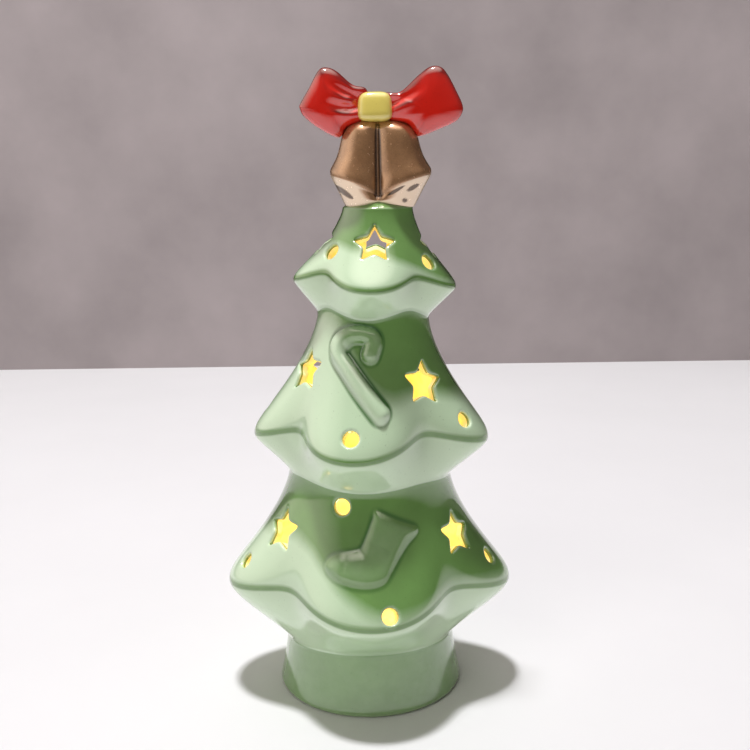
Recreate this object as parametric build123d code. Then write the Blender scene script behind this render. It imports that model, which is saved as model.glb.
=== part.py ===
from build123d import *
import math
import os

# A hollow glazed tree with three lobed tiers, gold bells and a bow, lit by a battery light in its foot.
# Millimetres and degrees. The foot's middle is the origin, +Z is up and the front faces -Y.

# Tree body
tree_wall = 3.6
lip_wall = 5.4
lobe_count = 4
section_points_count = 48
valley_soft_share = 0.55
skirt_flare_share = 1.55
skirt_soft_share = 0.11
underside_flare_share = 1.05
frame_step_share = 0.01
lean = 6.5
lean_height = 190.0

foot_radius = 30.8
foot_round = 1.4
trunk_top_radius = 27.7
trunk_top_height = 19.6
trunk_flare_share = 1.4
trunk_section_shares = (0.0, 0.2, 0.4, 0.6, 0.8, 1.0)
tier_section_shares = (-1.0, -0.85, -0.7, -0.55, -0.42, -0.3, -0.2, -0.12, -0.05, 0.0, 0.04, 0.08, 0.13, 0.19,
                       0.27, 0.36, 0.46, 0.57, 0.68, 0.79, 0.9, 1.0)

lower_side_radius = 47.0
lower_front_radius = 43.2
lower_lip_height = 35.8
lower_notch_rise = 4.5
lower_notch_share = 0.23
lower_turn_angle = 1.5
lower_tilt_share = -0.011
lower_underside_soft_share = 0.3
lower_neck_radius = 26.3
lower_neck_height = 73.5

middle_side_radius = 38.4
middle_front_radius = 35.1
middle_lip_height = 84.9
middle_notch_rise = 4.9
middle_notch_share = 0.275
middle_turn_angle = -8.5
middle_tilt_share = -0.005
middle_underside_soft_share = 0.21
middle_neck_radius = 17.6
middle_neck_height = 125.1

upper_side_radius = 25.8
upper_front_radius = 25.5
upper_lip_height = 134.4
upper_notch_rise = 3.6
upper_notch_share = 0.23
upper_turn_angle = -5.0
upper_tilt_share = -0.05
upper_underside_soft_share = 0.1
upper_neck_radius = 10.9
upper_neck_height = 158.0
tip_radius = 4.0
tip_height = 4.5

# Cut-outs: angle from the front, and share of the skirt's height above the lip
star_radius = 7.4
small_star_radius = 6.6
star_inner_share = 0.5
star_point_count = 5
dot_radius = 2.5
cut_depth = 9.0
upper_star_angles = (-2.3, 89.0, 179.0, 269.0)
upper_star_height_shares = (0.58, 0.55, 0.58, 0.55)
middle_star_angles = (-63.6, 42.8, 130.0, 226.0)
middle_star_height_shares = (0.54, 0.46, 0.52, 0.5)
lower_star_angles = (-61.1, 60.5, 124.0, 236.0)
lower_star_height_shares = (0.54, 0.51, 0.53, 0.52)
upper_dot_angles = (-53.3, 59.4, 131.0, 221.0)
upper_dot_height_shares = (0.35, 0.3, 0.32, 0.34)
middle_dot_angles = (-9.8, 64.3, 172.0, 262.0)
middle_dot_height_shares = (0.18, 0.18, 0.19, 0.24)
lower_dot_angles = (8.2, 77.8, 182.0, 283.0, -18.4, 160.0)
lower_dot_height_shares = (0.105, 0.25, 0.16, 0.22, 0.87, 0.86)

# Reliefs, in the front view
relief_height = 1.7
cane_width = 4.8
cane_hook_radius = 5.2
cane_hook_angle = 225.0
cane_top_x = -7.0
cane_top_height = 113.0
cane_foot_x = 4.3
cane_foot_height = 98.2
stocking_x = -13.0
stocking_base_height = 47.0
stocking_width = 27.9
stocking_height = 20.9
stocking_round = 1.2
stocking_shares = ((0.0, 0.22), (0.06, 0.06), (0.24, 0.0), (0.5, -0.01), (0.66, 0.05), (0.81, 0.37),
                   (1.02, 0.68), (0.96, 0.76), (0.54, 1.02), (0.4, 0.5), (0.11, 0.41))

# Bells
bell_height = 30.0
bell_rim_radius = 9.4
bell_spread = 8.4
bell_tilt_angle = 12.0
bell_shares = ((0.3, 0.0), (0.75, 0.2), (1.0, 0.35), (0.98, 0.4), (0.87, 0.5), (0.8, 0.66), (0.74, 0.79),
               (0.55, 0.92), (0.2, 1.0))

# Bow
knot_width = 10.6
knot_height = 9.0
knot_depth = 11.0
knot_round = 2.4
knot_x = 3.8
knot_middle_height = 188.1
knot_y = -3.0
loop_depth = 9.0
loop_edge_round = 3.2
loop_corner_round = 3.4
left_loop_length = 23.0
left_loop_rise = 11.9
right_loop_length = 26.8
right_loop_rise = 11.9
left_loop_shares = ((0.1, 0.34), (0.62, 1.14), (1.03, 0.06), (0.92, -0.3), (0.5, -0.85), (0.1, -0.28))
right_loop_shares = ((0.1, 0.24), (0.68, 1.08), (0.81, 0.98), (1.03, -0.1), (0.92, -0.46), (0.48, -0.85),
                     (0.1, -0.28))

# Foot opening and the light unit in it
stand_lift = 0.8
plate_thickness = 2.2
flange_radius = 24.0
flange_clearance = 0.5
seat_clearance = 0.1
floor_thickness = 2.8
opening_radius = 21.0
ring_clearance = 0.06
ring_width = 1.8
ring_depth = 1.0
cup_radius = 20.4
cup_wall = 1.8
cup_rim_height = 16.0
cap_thickness = 1.8
boss_radius = 2.2
boss_wall_overlap = 0.6
boss_x = 12.0
boss_y = 10.6
screw_radius = 0.9
screw_head_radius = 2.0
screw_head_height = 1.3
screw_length = 8.0
fit_clearance = 0.05
loose_clearance = 0.3

dome_radius = 13.6
dome_wall = 1.3
dome_straight = 3.0
board_thickness = 1.2
board_clearance = 0.3
led_count = 3
led_radius = 2.5
led_flange_radius = 2.9
led_flange_height = 1.0
led_height = 8.6
led_circle_radius = 4.6
led_first_angle = 30.0
resistor_length = 3.2
resistor_width = 1.6
resistor_height = 0.7
resistor_y = 7.4

# Battery bay
cell_count = 3
cell_radius = 5.8
cell_thickness = 5.4
cell_step = 0.8
cell_step_radius = 5.0
bay_x = -1.5
bay_y = -4.0
bay_side_gap = 0.5
bay_wall = 1.2
contact_thickness = 0.4
contact_width = 8.0
contact_tab_width = 4.0
contact_foot_gap = 1.2
contact_solder = 0.5
spring_travel = 3.2
spring_shelf_gap = 0.7
spring_tip_rise = 2.9
spring_tip_back = 0.7

# Battery door and its screw
door_thickness = 1.8
door_gap = 0.3
door_pin_radius = 0.55
door_pin_length = 1.2
door_reach = 28.5
door_hinge_gap = 0.2
door_screw_inset = 2.6
door_screw_head_radius = 2.1
door_screw_head_height = 1.0
door_screw_radius = 1.0
door_screw_grip = 2.6
door_screw_slot_width = 0.6
door_screw_slot_depth = 0.4
door_boss_radius = 2.4

# Switch
switch_length = 8.6
switch_width = 4.0
switch_height = 3.8
switch_y = 10.0
slider_length = 1.6
slider_width = 1.6
slider_foot = 3.0
slider_foot_height = 1.4
slider_travel = 2.4
slider_show = 0.3
slider_gap = 0.15
lead_radius = 0.4
lead_spread = 1.5

# Every cut runs past its faces by this
overrun = 1.0

# Places worked out from the values above
flange_top = stand_lift + plate_thickness
recess_top = flange_top + seat_clearance
floor_top = recess_top + floor_thickness
cap_top = cup_rim_height + cap_thickness
board_top = cap_top + board_thickness
door_top = stand_lift + door_thickness
cell_height = door_top + door_gap + cell_radius
stack_length = cell_count * cell_thickness
stack_start = bay_x - stack_length / 2
stack_end = bay_x + stack_length / 2
bay_half_width = cell_radius + bay_side_gap
spring_strip_x = stack_start - spring_travel
hinge_x = spring_strip_x - contact_thickness - door_gap
hinge_height = stand_lift + door_thickness / 2
door_end_x = hinge_x + door_reach
door_screw_x = door_end_x - door_screw_inset
opening_start_x = hinge_x - door_thickness / 2 - door_hinge_gap
opening_end_x = door_end_x + door_gap
plate_wall_x = stack_end + contact_thickness
board_radius = dome_radius - dome_wall - board_clearance


# Tiers from below: lip and notches, and the necks that the tier runs between
def tier(side, front, lip, rise, notch, turn, tilt, soft, below, above):
    """The sizes of one tier by name."""
    return dict(side=side, front=front, lip=lip, rise=rise, notch=notch, turn=math.radians(turn),
                tilt=tilt, soft=soft, below=below, above=above)


trunk_neck = (trunk_top_radius, trunk_top_height)
lower_neck = (lower_neck_radius, lower_neck_height)
middle_neck = (middle_neck_radius, middle_neck_height)
upper_neck = (upper_neck_radius, upper_neck_height)
lower = tier(lower_side_radius, lower_front_radius, lower_lip_height, lower_notch_rise, lower_notch_share,
             lower_turn_angle, lower_tilt_share, lower_underside_soft_share, trunk_neck, lower_neck)
middle = tier(middle_side_radius, middle_front_radius, middle_lip_height, middle_notch_rise,
              middle_notch_share, middle_turn_angle, middle_tilt_share, middle_underside_soft_share,
              lower_neck, middle_neck)
upper = tier(upper_side_radius, upper_front_radius, upper_lip_height, upper_notch_rise, upper_notch_share,
             upper_turn_angle, upper_tilt_share, upper_underside_soft_share, middle_neck, upper_neck)


def lean_at(height):
    """How far the tree's axis has moved to the side at a height above the trunk."""
    return lean * (max(height - trunk_top_height, 0) / (lean_height - trunk_top_height)) ** 2


def valley(sizes, angle):
    """0 in the middle of a lobe, 1 at the bottom of a valley."""
    swing = math.cos(lobe_count / 2 * (angle - sizes["turn"]))
    soft = valley_soft_share
    return 1 - (math.hypot(swing, soft) - soft) / (math.hypot(1, soft) - soft)


def soft_run(run, soft):
    """A run from 0 to 1 that starts gently, so that the lip is round."""
    return (math.hypot(run, soft) - soft) / (math.hypot(1, soft) - soft)


def skin_point(sizes, angle, share, inset=0.0, lip_inset=0.0):
    """A point of a tier: share runs from -1 at the neck below over 0 at the lip to 1 at the neck above."""
    run = abs(share)
    if share > 0:
        neck_radius, neck_height = sizes["above"]
        spread = (1 - soft_run(run, skirt_soft_share)) ** skirt_flare_share
    else:
        neck_radius, neck_height = sizes["below"]
        spread = (1 - soft_run(run, sizes["soft"])) ** underside_flare_share
    neck = neck_radius - inset
    cut = 1 - sizes["notch"] * spread * valley(sizes, angle)
    side = (neck + (sizes["side"] - lip_inset - neck) * spread) * cut
    front = (neck + (sizes["front"] - lip_inset - neck) * spread) * cut
    height = sizes["lip"] + (neck_height - sizes["lip"]) * run
    height += spread * sizes["rise"] * valley(sizes, angle)
    height += (1 - run) * sizes["tilt"] * sizes["side"] * math.sin(angle)
    return Vector(lean_at(height) + side * math.sin(angle), -front * math.cos(angle), height)


def ring_wire(point_at):
    """A closed smooth ring through the points of a function of the angle."""
    steps = [step / section_points_count for step in range(section_points_count + 1)]
    points = [point_at(2 * math.pi * step) for step in steps[:-1]]
    return Wire([Edge.make_spline(points, periodic=True, parameters=steps)])


def round_wire(radius, height):
    """A round ring on the upright axis."""
    return ring_wire(lambda angle: Vector(radius * math.sin(angle), -radius * math.cos(angle), height))


def tier_solid(sizes, inset=0.0, lip_inset=0.0):
    """One tier as a loft from the neck below, round the lip, to the neck above."""
    return Solid.make_loft([ring_wire(lambda angle: skin_point(sizes, angle, share, inset, lip_inset))
                            for share in tier_section_shares], ruled=True)


def skin_frame(sizes, degrees, share):
    """A plane on a tier's skirt, with its normal pointing out."""
    angle = math.radians(degrees)
    step = frame_step_share
    point = skin_point(sizes, angle, share)
    across = skin_point(sizes, angle + step, share) - skin_point(sizes, angle - step, share)
    upward = skin_point(sizes, angle, share + step) - skin_point(sizes, angle, share - step)
    return Plane(origin=point, x_dir=across, z_dir=across.cross(upward))


def round_block(radius, bottom, top, x=0.0, y=0.0):
    """An upright cylinder between two heights."""
    return Pos(x, y, (bottom + top) / 2) * Cylinder(radius, top - bottom)


def span_box(x_range, y_range, z_range):
    """A box between pairs of limits."""
    size = [high - low for low, high in (x_range, y_range, z_range)]
    middle_point = [(high + low) / 2 for low, high in (x_range, y_range, z_range)]
    return Pos(*middle_point) * Box(*size)


def trunk_solid(inset, bottom):
    """The round trunk from a height up to the lower tier's neck."""
    wires = []
    for run in trunk_section_shares:
        radius = trunk_top_radius - inset + (foot_radius - trunk_top_radius) * (1 - run) ** trunk_flare_share
        wires.append(round_wire(radius, bottom + (trunk_top_height - bottom) * run))
    return Solid.make_loft(wires, ruled=True)


def tip_solid():
    """The low cone on the upper tier's neck that the bells straddle."""
    rings = [round_wire(upper_neck_radius, 0), round_wire(tip_radius, tip_height)]
    return Pos(lean_at(upper_neck_height), 0, upper_neck_height) * Solid.make_loft(rings, ruled=True)


def tree_outer():
    """The closed outside of the tree."""
    trunk = trunk_solid(0.0, 0.0)
    trunk = fillet(trunk.edges().sort_by(Axis.Z)[0], foot_round)
    return trunk + tier_solid(lower) + tier_solid(middle) + tier_solid(upper) + tip_solid()


def tree_hollow():
    """The hollow inside, up to a wall below the bells' seat."""
    hollow = trunk_solid(tree_wall, floor_top)
    for sizes in (lower, middle, upper):
        hollow = hollow + tier_solid(sizes, tree_wall, lip_wall)
    ceiling = upper_neck_height - tree_wall
    reach = 2 * foot_radius
    return hollow - span_box((-reach, reach), (-reach, reach), (ceiling, upper_neck_height + overrun))


def star_cutter(sizes, degrees, share, radius):
    """A five-pointed prism through the wall, one point up."""
    frame = skin_frame(sizes, degrees, share)
    points = []
    for corner in range(2 * star_point_count):
        reach = radius if corner % 2 == 0 else radius * star_inner_share
        turn = math.pi / 2 + math.pi * corner / star_point_count
        points.append((reach * math.cos(turn), reach * math.sin(turn)))
    return frame * Pos(0, 0, -cut_depth / 2) * extrude(make_face(Polyline(*points, close=True)), cut_depth)


def dot_cutter(sizes, degrees, share):
    """A round hole through the wall."""
    return skin_frame(sizes, degrees, share) * Cylinder(dot_radius, cut_depth)


def cutters():
    """All the stars and dots."""
    star_rows = ((upper, upper_star_angles, upper_star_height_shares, small_star_radius),
                 (middle, middle_star_angles, middle_star_height_shares, star_radius),
                 (lower, lower_star_angles, lower_star_height_shares, star_radius))
    dot_rows = ((upper, upper_dot_angles, upper_dot_height_shares),
                (middle, middle_dot_angles, middle_dot_height_shares),
                (lower, lower_dot_angles, lower_dot_height_shares))
    found = []
    for sizes, angles, shares, radius in star_rows:
        found += [star_cutter(sizes, angle, share, radius) for angle, share in zip(angles, shares)]
    for sizes, angles, shares in dot_rows:
        found += [dot_cutter(sizes, angle, share) for angle, share in zip(angles, shares)]
    return found


def tree_body(outer):
    """The casting: outside less hollow, foot opening and cut-outs."""
    body = outer - tree_hollow()
    body -= round_block(opening_radius, -overrun, floor_top + overrun)
    body -= round_block(flange_radius + flange_clearance, -overrun, recess_top)
    return body - cutters()


def relief(outline, sizes, outer):
    """A raised shape on a tier's front, following its skirt."""
    reach = sizes["front"] + relief_height
    prism = extrude(Plane.XZ * outline, reach + overrun, dir=(0, -1, 0))
    grown = tier_solid(sizes, -relief_height, -relief_height)
    return (prism & grown) - outer


def cane_outline():
    """A straight shaft with a half-round hook."""
    foot = Vector(cane_foot_x, cane_foot_height)
    top = Vector(cane_top_x, cane_top_height)
    along = (top - foot).normalized()
    across = Vector(along.Y, -along.X)
    middle_point = top + across * cane_hook_radius
    start = math.degrees(math.atan2(-across.Y, -across.X))
    hook = CenterArc(middle_point, cane_hook_radius, start, -cane_hook_angle)
    line = Curve([Line(foot, top), hook])
    ends = [foot, hook @ 1]
    band = trace(line, cane_width)
    return band + [Pos(*end) * Circle(cane_width / 2) for end in ends]


def stocking_outline():
    """Cuff, leg, heel, foot and toe as one rounded outline."""
    points = [(stocking_x + stocking_width * across, stocking_base_height + stocking_height * up)
              for across, up in stocking_shares]
    face = make_face(Polyline(*points, close=True))
    return fillet(face.vertices(), stocking_round)


def bell(side):
    """A closed bell that leans in to its neighbour; side is -1 on the left and 1 on the right."""
    points = [(bell_rim_radius * across, bell_height * up) for across, up in bell_shares]
    curve = Spline(*points)
    rest = Polyline(points[-1], (0, points[-1][1]), (0, 0), points[0])
    solid = revolve(Plane.XZ * make_face(curve.edges() + rest.edges()), Axis.Z)
    foot = Pos(lean_at(upper_neck_height) + side * bell_spread, 0, upper_neck_height)
    return foot * Rot(0, -side * bell_tilt_angle, 0) * solid


def bell_half(side, outer, bow):
    """One bell, cut at the groove between the two, on the tree's tip and under the bow."""
    reach = bell_height * 2
    middle_x = lean_at(upper_neck_height)
    x_range = sorted((middle_x, middle_x + side * reach))
    room = span_box(x_range, (-reach, reach), (upper_neck_height, upper_neck_height + reach))
    return (bell(side) & room) - outer - bow


def bow_loop(side, length, rise, shares):
    """A puffed loop of ribbon: a rounded outline with rounded edges."""
    points = [(side * length * across, rise * up) for across, up in shares]
    face = make_face(Polyline(*points, close=True))
    face = fillet(face.vertices(), loop_corner_round)
    block = extrude(Plane.XZ * face, loop_depth / 2, both=True)
    return Pos(knot_x, knot_y, knot_middle_height) * fillet(block.edges(), loop_edge_round)


def bow_knot():
    """The rounded band in the middle of the bow."""
    block = Pos(knot_x, knot_y, knot_middle_height) * Box(knot_width, knot_depth, knot_height)
    return fillet(block.edges(), knot_round)


def light_housing():
    """The cup: flange, bottom plate, battery bay, bosses, groove and the holes in its underside."""
    body = round_block(flange_radius, stand_lift, flange_top)
    body += round_block(cup_radius, stand_lift, cup_rim_height)
    body -= round_block(cup_radius - cup_wall, flange_top, cup_rim_height + overrun)
    y_low = bay_y - bay_half_width
    y_high = bay_y + bay_half_width
    bay_x_range = (opening_start_x - bay_wall, plate_wall_x + bay_wall)
    walls = span_box(bay_x_range, (y_low - bay_wall, y_high + bay_wall), (flange_top, cup_rim_height))
    body += walls & round_block(cup_radius, flange_top, cup_rim_height)
    for side in (-1, 1):
        body += round_block(boss_radius, flange_top, cup_rim_height, side * boss_x, boss_y)
        body -= round_block(screw_radius + fit_clearance, cup_rim_height - screw_length,
                            cup_rim_height + overrun, side * boss_x, boss_y)
    body -= span_box((opening_start_x, plate_wall_x), (y_low, y_high), (-overrun, cup_rim_height + overrun))
    body -= span_box((opening_start_x, opening_end_x), (y_low, y_high), (-overrun, flange_top))
    body += door_boss()
    pin = Cylinder(door_pin_radius + fit_clearance, 2 * (bay_half_width + door_pin_length + door_gap))
    body -= Pos(hinge_x, bay_y, hinge_height) * Rot(90, 0, 0) * pin
    slot_half = slider_length / 2 + slider_travel / 2 + slider_gap
    slot_side = slider_width / 2 + slider_gap
    body -= span_box((-slot_half, slot_half), (switch_y - slot_side, switch_y + slot_side),
                     (-overrun, flange_top + overrun))
    groove = round_block(cup_radius + overrun, ring_bottom(), ring_bottom() + ring_width)
    return body - (groove - round_block(ring_inner_radius(), 0, cup_rim_height))


def door_boss():
    """The post over the door's free end that takes its screw, tied to the cup's wall."""
    bottom = door_top + door_gap
    post = round_block(door_boss_radius, bottom, cup_rim_height, door_screw_x, bay_y)
    rib = span_box((door_screw_x, cup_radius), (bay_y - bay_wall, bay_y + bay_wall), (bottom, cup_rim_height))
    post += rib & round_block(cup_radius - boss_wall_overlap, bottom, cup_rim_height)
    hole_top = door_top + door_screw_grip + door_gap
    return post - round_block(door_screw_radius + loose_clearance, 0, hole_top, door_screw_x, bay_y)


def ring_bottom():
    """Height of the grip ring's lower face, in the middle of the floor."""
    return recess_top + (floor_thickness - ring_width) / 2


def ring_inner_radius():
    """Radius of the groove's floor."""
    return cup_radius - ring_depth


def grip_ring():
    """A rubber ring with rounded outer edges that holds the cup in the foot's opening."""
    top = ring_bottom() + ring_width
    ring = round_block(opening_radius - ring_clearance, ring_bottom(), top)
    ring = fillet(ring.edges(), (opening_radius - ring_clearance - cup_radius) / 2)
    return ring - round_block(ring_inner_radius(), 0, cup_rim_height)


def housing_cap():
    """The disc on the cup, with holes for screws, contacts and leads."""
    cap = round_block(cup_radius, cup_rim_height, cap_top)
    for side in (-1, 1):
        cap -= round_block(screw_radius + fit_clearance, 0, cap_top + overrun, side * boss_x, boss_y)
    return cap - tab_slots() - lead_holes()


def tab_slots():
    """Slots for both contacts' tabs, through cap and board."""
    half = contact_tab_width / 2 + door_gap
    slots = []
    for left in (stack_end, stack_start - contact_thickness / 2):
        x_range = (left - door_gap, left + contact_thickness + door_gap)
        z_range = (cup_rim_height - overrun, board_top + overrun)
        slots.append(span_box(x_range, (bay_y - half, bay_y + half), z_range))
    return slots


def lead_holes():
    """Holes for the switch's leads, through cap and board."""
    return [round_block(lead_radius + fit_clearance, 0, board_top + overrun, side * lead_spread, switch_y)
            for side in (-1, 1)]


def cap_screws():
    """Two round-headed screws down into the cup's bosses."""
    screws = []
    for side in (-1, 1):
        head = round_block(screw_head_radius, cap_top, cap_top + screw_head_height, side * boss_x, boss_y)
        head = fillet(head.edges().sort_by(Axis.Z)[-1], screw_head_height / 2)
        slot = span_box((-screw_radius / 2, screw_radius / 2), (-boss_y, boss_y),
                        (cap_top + screw_head_height / 2, cap_top + screw_head_height + overrun))
        shank = round_block(screw_radius, cup_rim_height - screw_length + fit_clearance, cap_top,
                            side * boss_x, boss_y)
        screws.append(head - Pos(side * boss_x, boss_y, 0) * slot + shank)
    return Compound(children=screws)


def diffuser_dome():
    """A milky dome: a short straight wall and half a ball."""
    middle_height = cap_top + dome_straight

    def dome(radius):
        ball = Pos(0, 0, middle_height) * Sphere(radius)
        ball &= round_block(radius, middle_height, middle_height + radius)
        return ball + round_block(radius, cap_top, middle_height)

    return dome(dome_radius) - dome(dome_radius - dome_wall)


def led_board():
    """The round board with slots for the contacts and holes for the leads."""
    board = round_block(board_radius, cap_top, board_top)
    return board - tab_slots() - lead_holes()


def led(place):
    """A round-topped lamp standing on the board."""
    turn = math.radians(led_first_angle + 360 / led_count * place)
    x = led_circle_radius * math.cos(turn)
    y = led_circle_radius * math.sin(turn)
    ball_height = board_top + led_height - led_radius
    lamp = round_block(led_flange_radius, board_top, board_top + led_flange_height, x, y)
    lamp += round_block(led_radius, board_top, ball_height, x, y)
    return lamp + Pos(x, y, ball_height) * Sphere(led_radius)


def resistor():
    """A flat resistor on the board."""
    half = resistor_length / 2
    side = resistor_width / 2
    return span_box((-half, half), (resistor_y - side, resistor_y + side),
                    (board_top, board_top + resistor_height))


def contact_plate():
    """A flat strip against the bay's wall, with a tab up to the board."""
    x_range = (stack_end, stack_end + contact_thickness)
    half = contact_width / 2
    tab_half = contact_tab_width / 2
    bottom = door_top + door_gap + contact_foot_gap
    plate = span_box(x_range, (bay_y - half, bay_y + half), (bottom, cell_height + cell_radius))
    tab_range = (bay_y - tab_half, bay_y + tab_half)
    return plate + span_box(x_range, tab_range, (bottom, board_top + contact_solder))


def contact_spring():
    """A bent strip: a tab up to the board, a shelf over the cells, and a leaf that presses on the stack."""
    half = contact_thickness / 2
    shelf = cell_height + cell_radius + spring_shelf_gap + half
    foot = door_top + door_gap + contact_foot_gap
    strip = spring_strip_x - half
    press = stack_start - contact_thickness
    line = Polyline((stack_start, board_top + contact_solder), (stack_start, shelf), (strip, shelf),
                    (strip, foot), (press, cell_height),
                    (press - spring_tip_back, cell_height + spring_tip_rise))
    sheet = trace(line, contact_thickness)
    wide = extrude(Plane.XZ * sheet, contact_tab_width / 2, both=True)
    return Pos(0, bay_y, 0) * wide


def button_cell(place):
    """One cell of the stack, its smaller face towards the spring."""
    start = stack_start + place * cell_thickness
    case = Cylinder(cell_radius, cell_thickness - cell_step)
    case = fillet(case.edges(), cell_step / 2)
    cell = Pos(0, 0, (cell_thickness + cell_step) / 2) * case
    cell += round_block(cell_step_radius, 0, cell_thickness / 2)
    return Pos(start, bay_y, cell_height) * Rot(0, 90, 0) * cell


def switch_body():
    """The switch's case, open below for the slider."""
    half = switch_length / 2
    side = switch_width / 2
    y_range = (switch_y - side, switch_y + side)
    case = span_box((-half, half), y_range, (flange_top, flange_top + switch_height))
    hollow_half = (slider_foot + slider_travel) / 2 + slider_gap
    hollow_side = slider_width / 2 + slider_gap
    hollow_top = flange_top + slider_gap + slider_foot_height + slider_gap
    return case - span_box((-hollow_half, hollow_half), (switch_y - hollow_side, switch_y + hollow_side),
                           (0, hollow_top))


def switch_slider():
    """The slider at its left end: a foot inside the case and a thumb piece through the plate."""
    middle_x = -slider_travel / 2
    half = slider_length / 2
    side = slider_width / 2
    foot_half = slider_foot / 2
    foot_bottom = flange_top + slider_gap
    y_range = (switch_y - side, switch_y + side)
    thumb = span_box((middle_x - half, middle_x + half), y_range, (stand_lift - slider_show, foot_bottom))
    return thumb + span_box((middle_x - foot_half, middle_x + foot_half), y_range,
                            (foot_bottom, foot_bottom + slider_foot_height))


def switch_leads():
    """Two stiff leads from the switch up through the board."""
    bottom = flange_top + switch_height
    top = board_top + contact_solder
    return Compound(children=[round_block(lead_radius, bottom, top, side * lead_spread, switch_y)
                              for side in (-1, 1)])


def battery_door():
    """A plate with a round hinge edge, two hinge pins and a seat for its screw."""
    half = bay_half_width - door_gap
    y_range = (bay_y - half, bay_y + half)
    door = span_box((hinge_x, door_end_x), y_range, (stand_lift, door_top))
    hinge = Pos(hinge_x, bay_y, hinge_height) * Rot(90, 0, 0)
    door += hinge * Cylinder(door_thickness / 2, 2 * half)
    door += hinge * Cylinder(door_pin_radius, 2 * (bay_half_width + door_pin_length))
    door -= round_block(door_screw_radius + fit_clearance, 0, door_top + overrun, door_screw_x, bay_y)
    return door - round_block(door_screw_head_radius + fit_clearance, 0,
                              stand_lift + door_screw_head_height, door_screw_x, bay_y)


def door_screw():
    """A flat-headed screw that stays in the door."""
    head_top = stand_lift + door_screw_head_height - fit_clearance
    head = round_block(door_screw_head_radius, stand_lift, head_top, door_screw_x, bay_y)
    slot = span_box((-door_screw_head_radius, door_screw_head_radius),
                    (-door_screw_slot_width / 2, door_screw_slot_width / 2),
                    (0, stand_lift + door_screw_slot_depth))
    head -= Pos(door_screw_x, bay_y, 0) * slot
    return head + round_block(door_screw_radius, head_top, door_top + door_screw_grip, door_screw_x, bay_y)


def build():
    """Every piece by name."""
    outer = tree_outer()
    knot = bow_knot()
    left_loop = bow_loop(-1, left_loop_length, left_loop_rise, left_loop_shares) - knot
    right_loop = bow_loop(1, right_loop_length, right_loop_rise, right_loop_shares) - knot
    bow = [knot, left_loop, right_loop]
    pieces = {
        "tree_body": tree_body(outer),
        "candy_cane_relief": relief(cane_outline(), middle, outer),
        "stocking_relief": relief(stocking_outline(), lower, outer),
        "left_bell": bell_half(-1, outer, bow),
        "right_bell": bell_half(1, outer, bow),
        "bow_left_loop": left_loop,
        "bow_right_loop": right_loop,
        "bow_knot": knot,
        "light_housing": light_housing(),
        "housing_cap": housing_cap(),
        "cap_screws": cap_screws(),
        "grip_ring": grip_ring(),
        "diffuser_dome": diffuser_dome(),
        "led_board": led_board(),
        "resistor": resistor(),
        "contact_plate": contact_plate(),
        "contact_spring": contact_spring(),
        "switch_body": switch_body(),
        "switch_slider": switch_slider(),
        "switch_leads": switch_leads(),
        "battery_door": battery_door(),
        "door_screw": door_screw(),
    }
    pieces.update({f"led_{place + 1}": led(place) for place in range(led_count)})
    pieces.update({f"button_cell_{place + 1}": button_cell(place) for place in range(cell_count)})
    return pieces


os.makedirs("parts", exist_ok=True)
for name, piece in build().items():
    export_step(piece, f"parts/{name}.step")
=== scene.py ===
"""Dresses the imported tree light: glazed shell with cut-outs, gold bells, red bow and light unit."""
import itertools
import math

import bpy
import numpy as np
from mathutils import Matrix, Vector
from mathutils.geometry import delaunay_2d_cdt


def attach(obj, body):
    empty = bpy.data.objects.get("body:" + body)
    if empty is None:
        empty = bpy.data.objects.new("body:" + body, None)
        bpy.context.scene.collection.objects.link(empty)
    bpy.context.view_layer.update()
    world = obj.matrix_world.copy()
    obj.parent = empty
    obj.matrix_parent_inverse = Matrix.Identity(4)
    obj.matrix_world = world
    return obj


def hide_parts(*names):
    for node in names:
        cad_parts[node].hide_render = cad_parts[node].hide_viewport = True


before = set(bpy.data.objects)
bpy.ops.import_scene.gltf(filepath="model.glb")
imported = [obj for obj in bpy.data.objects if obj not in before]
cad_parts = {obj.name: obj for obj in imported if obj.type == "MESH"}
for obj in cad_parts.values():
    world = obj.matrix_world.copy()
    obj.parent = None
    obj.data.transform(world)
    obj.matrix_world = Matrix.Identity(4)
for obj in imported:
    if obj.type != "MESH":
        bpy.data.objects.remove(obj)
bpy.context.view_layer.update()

# Shapes are worked out in millimetres, as in the part's source, and scaled when a mesh is made
MM = 0.001

# Tree shell
WALL = 3.6
LIP_WALL = 5.4
LOBES = 4
VALLEY_SOFT = 0.55
SKIRT_FLARE = 1.55
SKIRT_SOFT = 0.11
UNDERSIDE_FLARE = 1.05
SCALLOP_FADE = 3
LEAN = 6.5
LEAN_BASE = 19.6
LEAN_HEIGHT = 190.0
FOOT_RADIUS = 30.8
FOOT_ROUND = 1.4
FOOT_EDGE = 0.3
TRUNK_FLARE = 1.4
TIP_RADIUS = 4.0
TIP_HEIGHT = 4.5
CEILING_SHARE = 0.85
FLOOR_TOP = 5.9
RECESS_TOP = 3.1
RECESS_RADIUS = 24.5
OPENING_RADIUS = 21.0

# Necks, the creases between tiers: tilt to the side, arch at the front and back, scallops in the valleys
TRUNK_NECK = dict(radius=27.7, height=18.5, tilt=0.3, arch=2.2, scallop=0.0, turn=0.0)
LOWER_NECK = dict(radius=26.3, height=73.7, tilt=-0.5, arch=-0.4, scallop=1.6, turn=-8.5)
MIDDLE_NECK = dict(radius=17.6, height=124.7, tilt=-0.6, arch=0.5, scallop=3.2, turn=-8.0)
UPPER_NECK = dict(radius=10.9, height=158.0, tilt=0.0, arch=0.0, scallop=0.0, turn=0.0)

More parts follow.
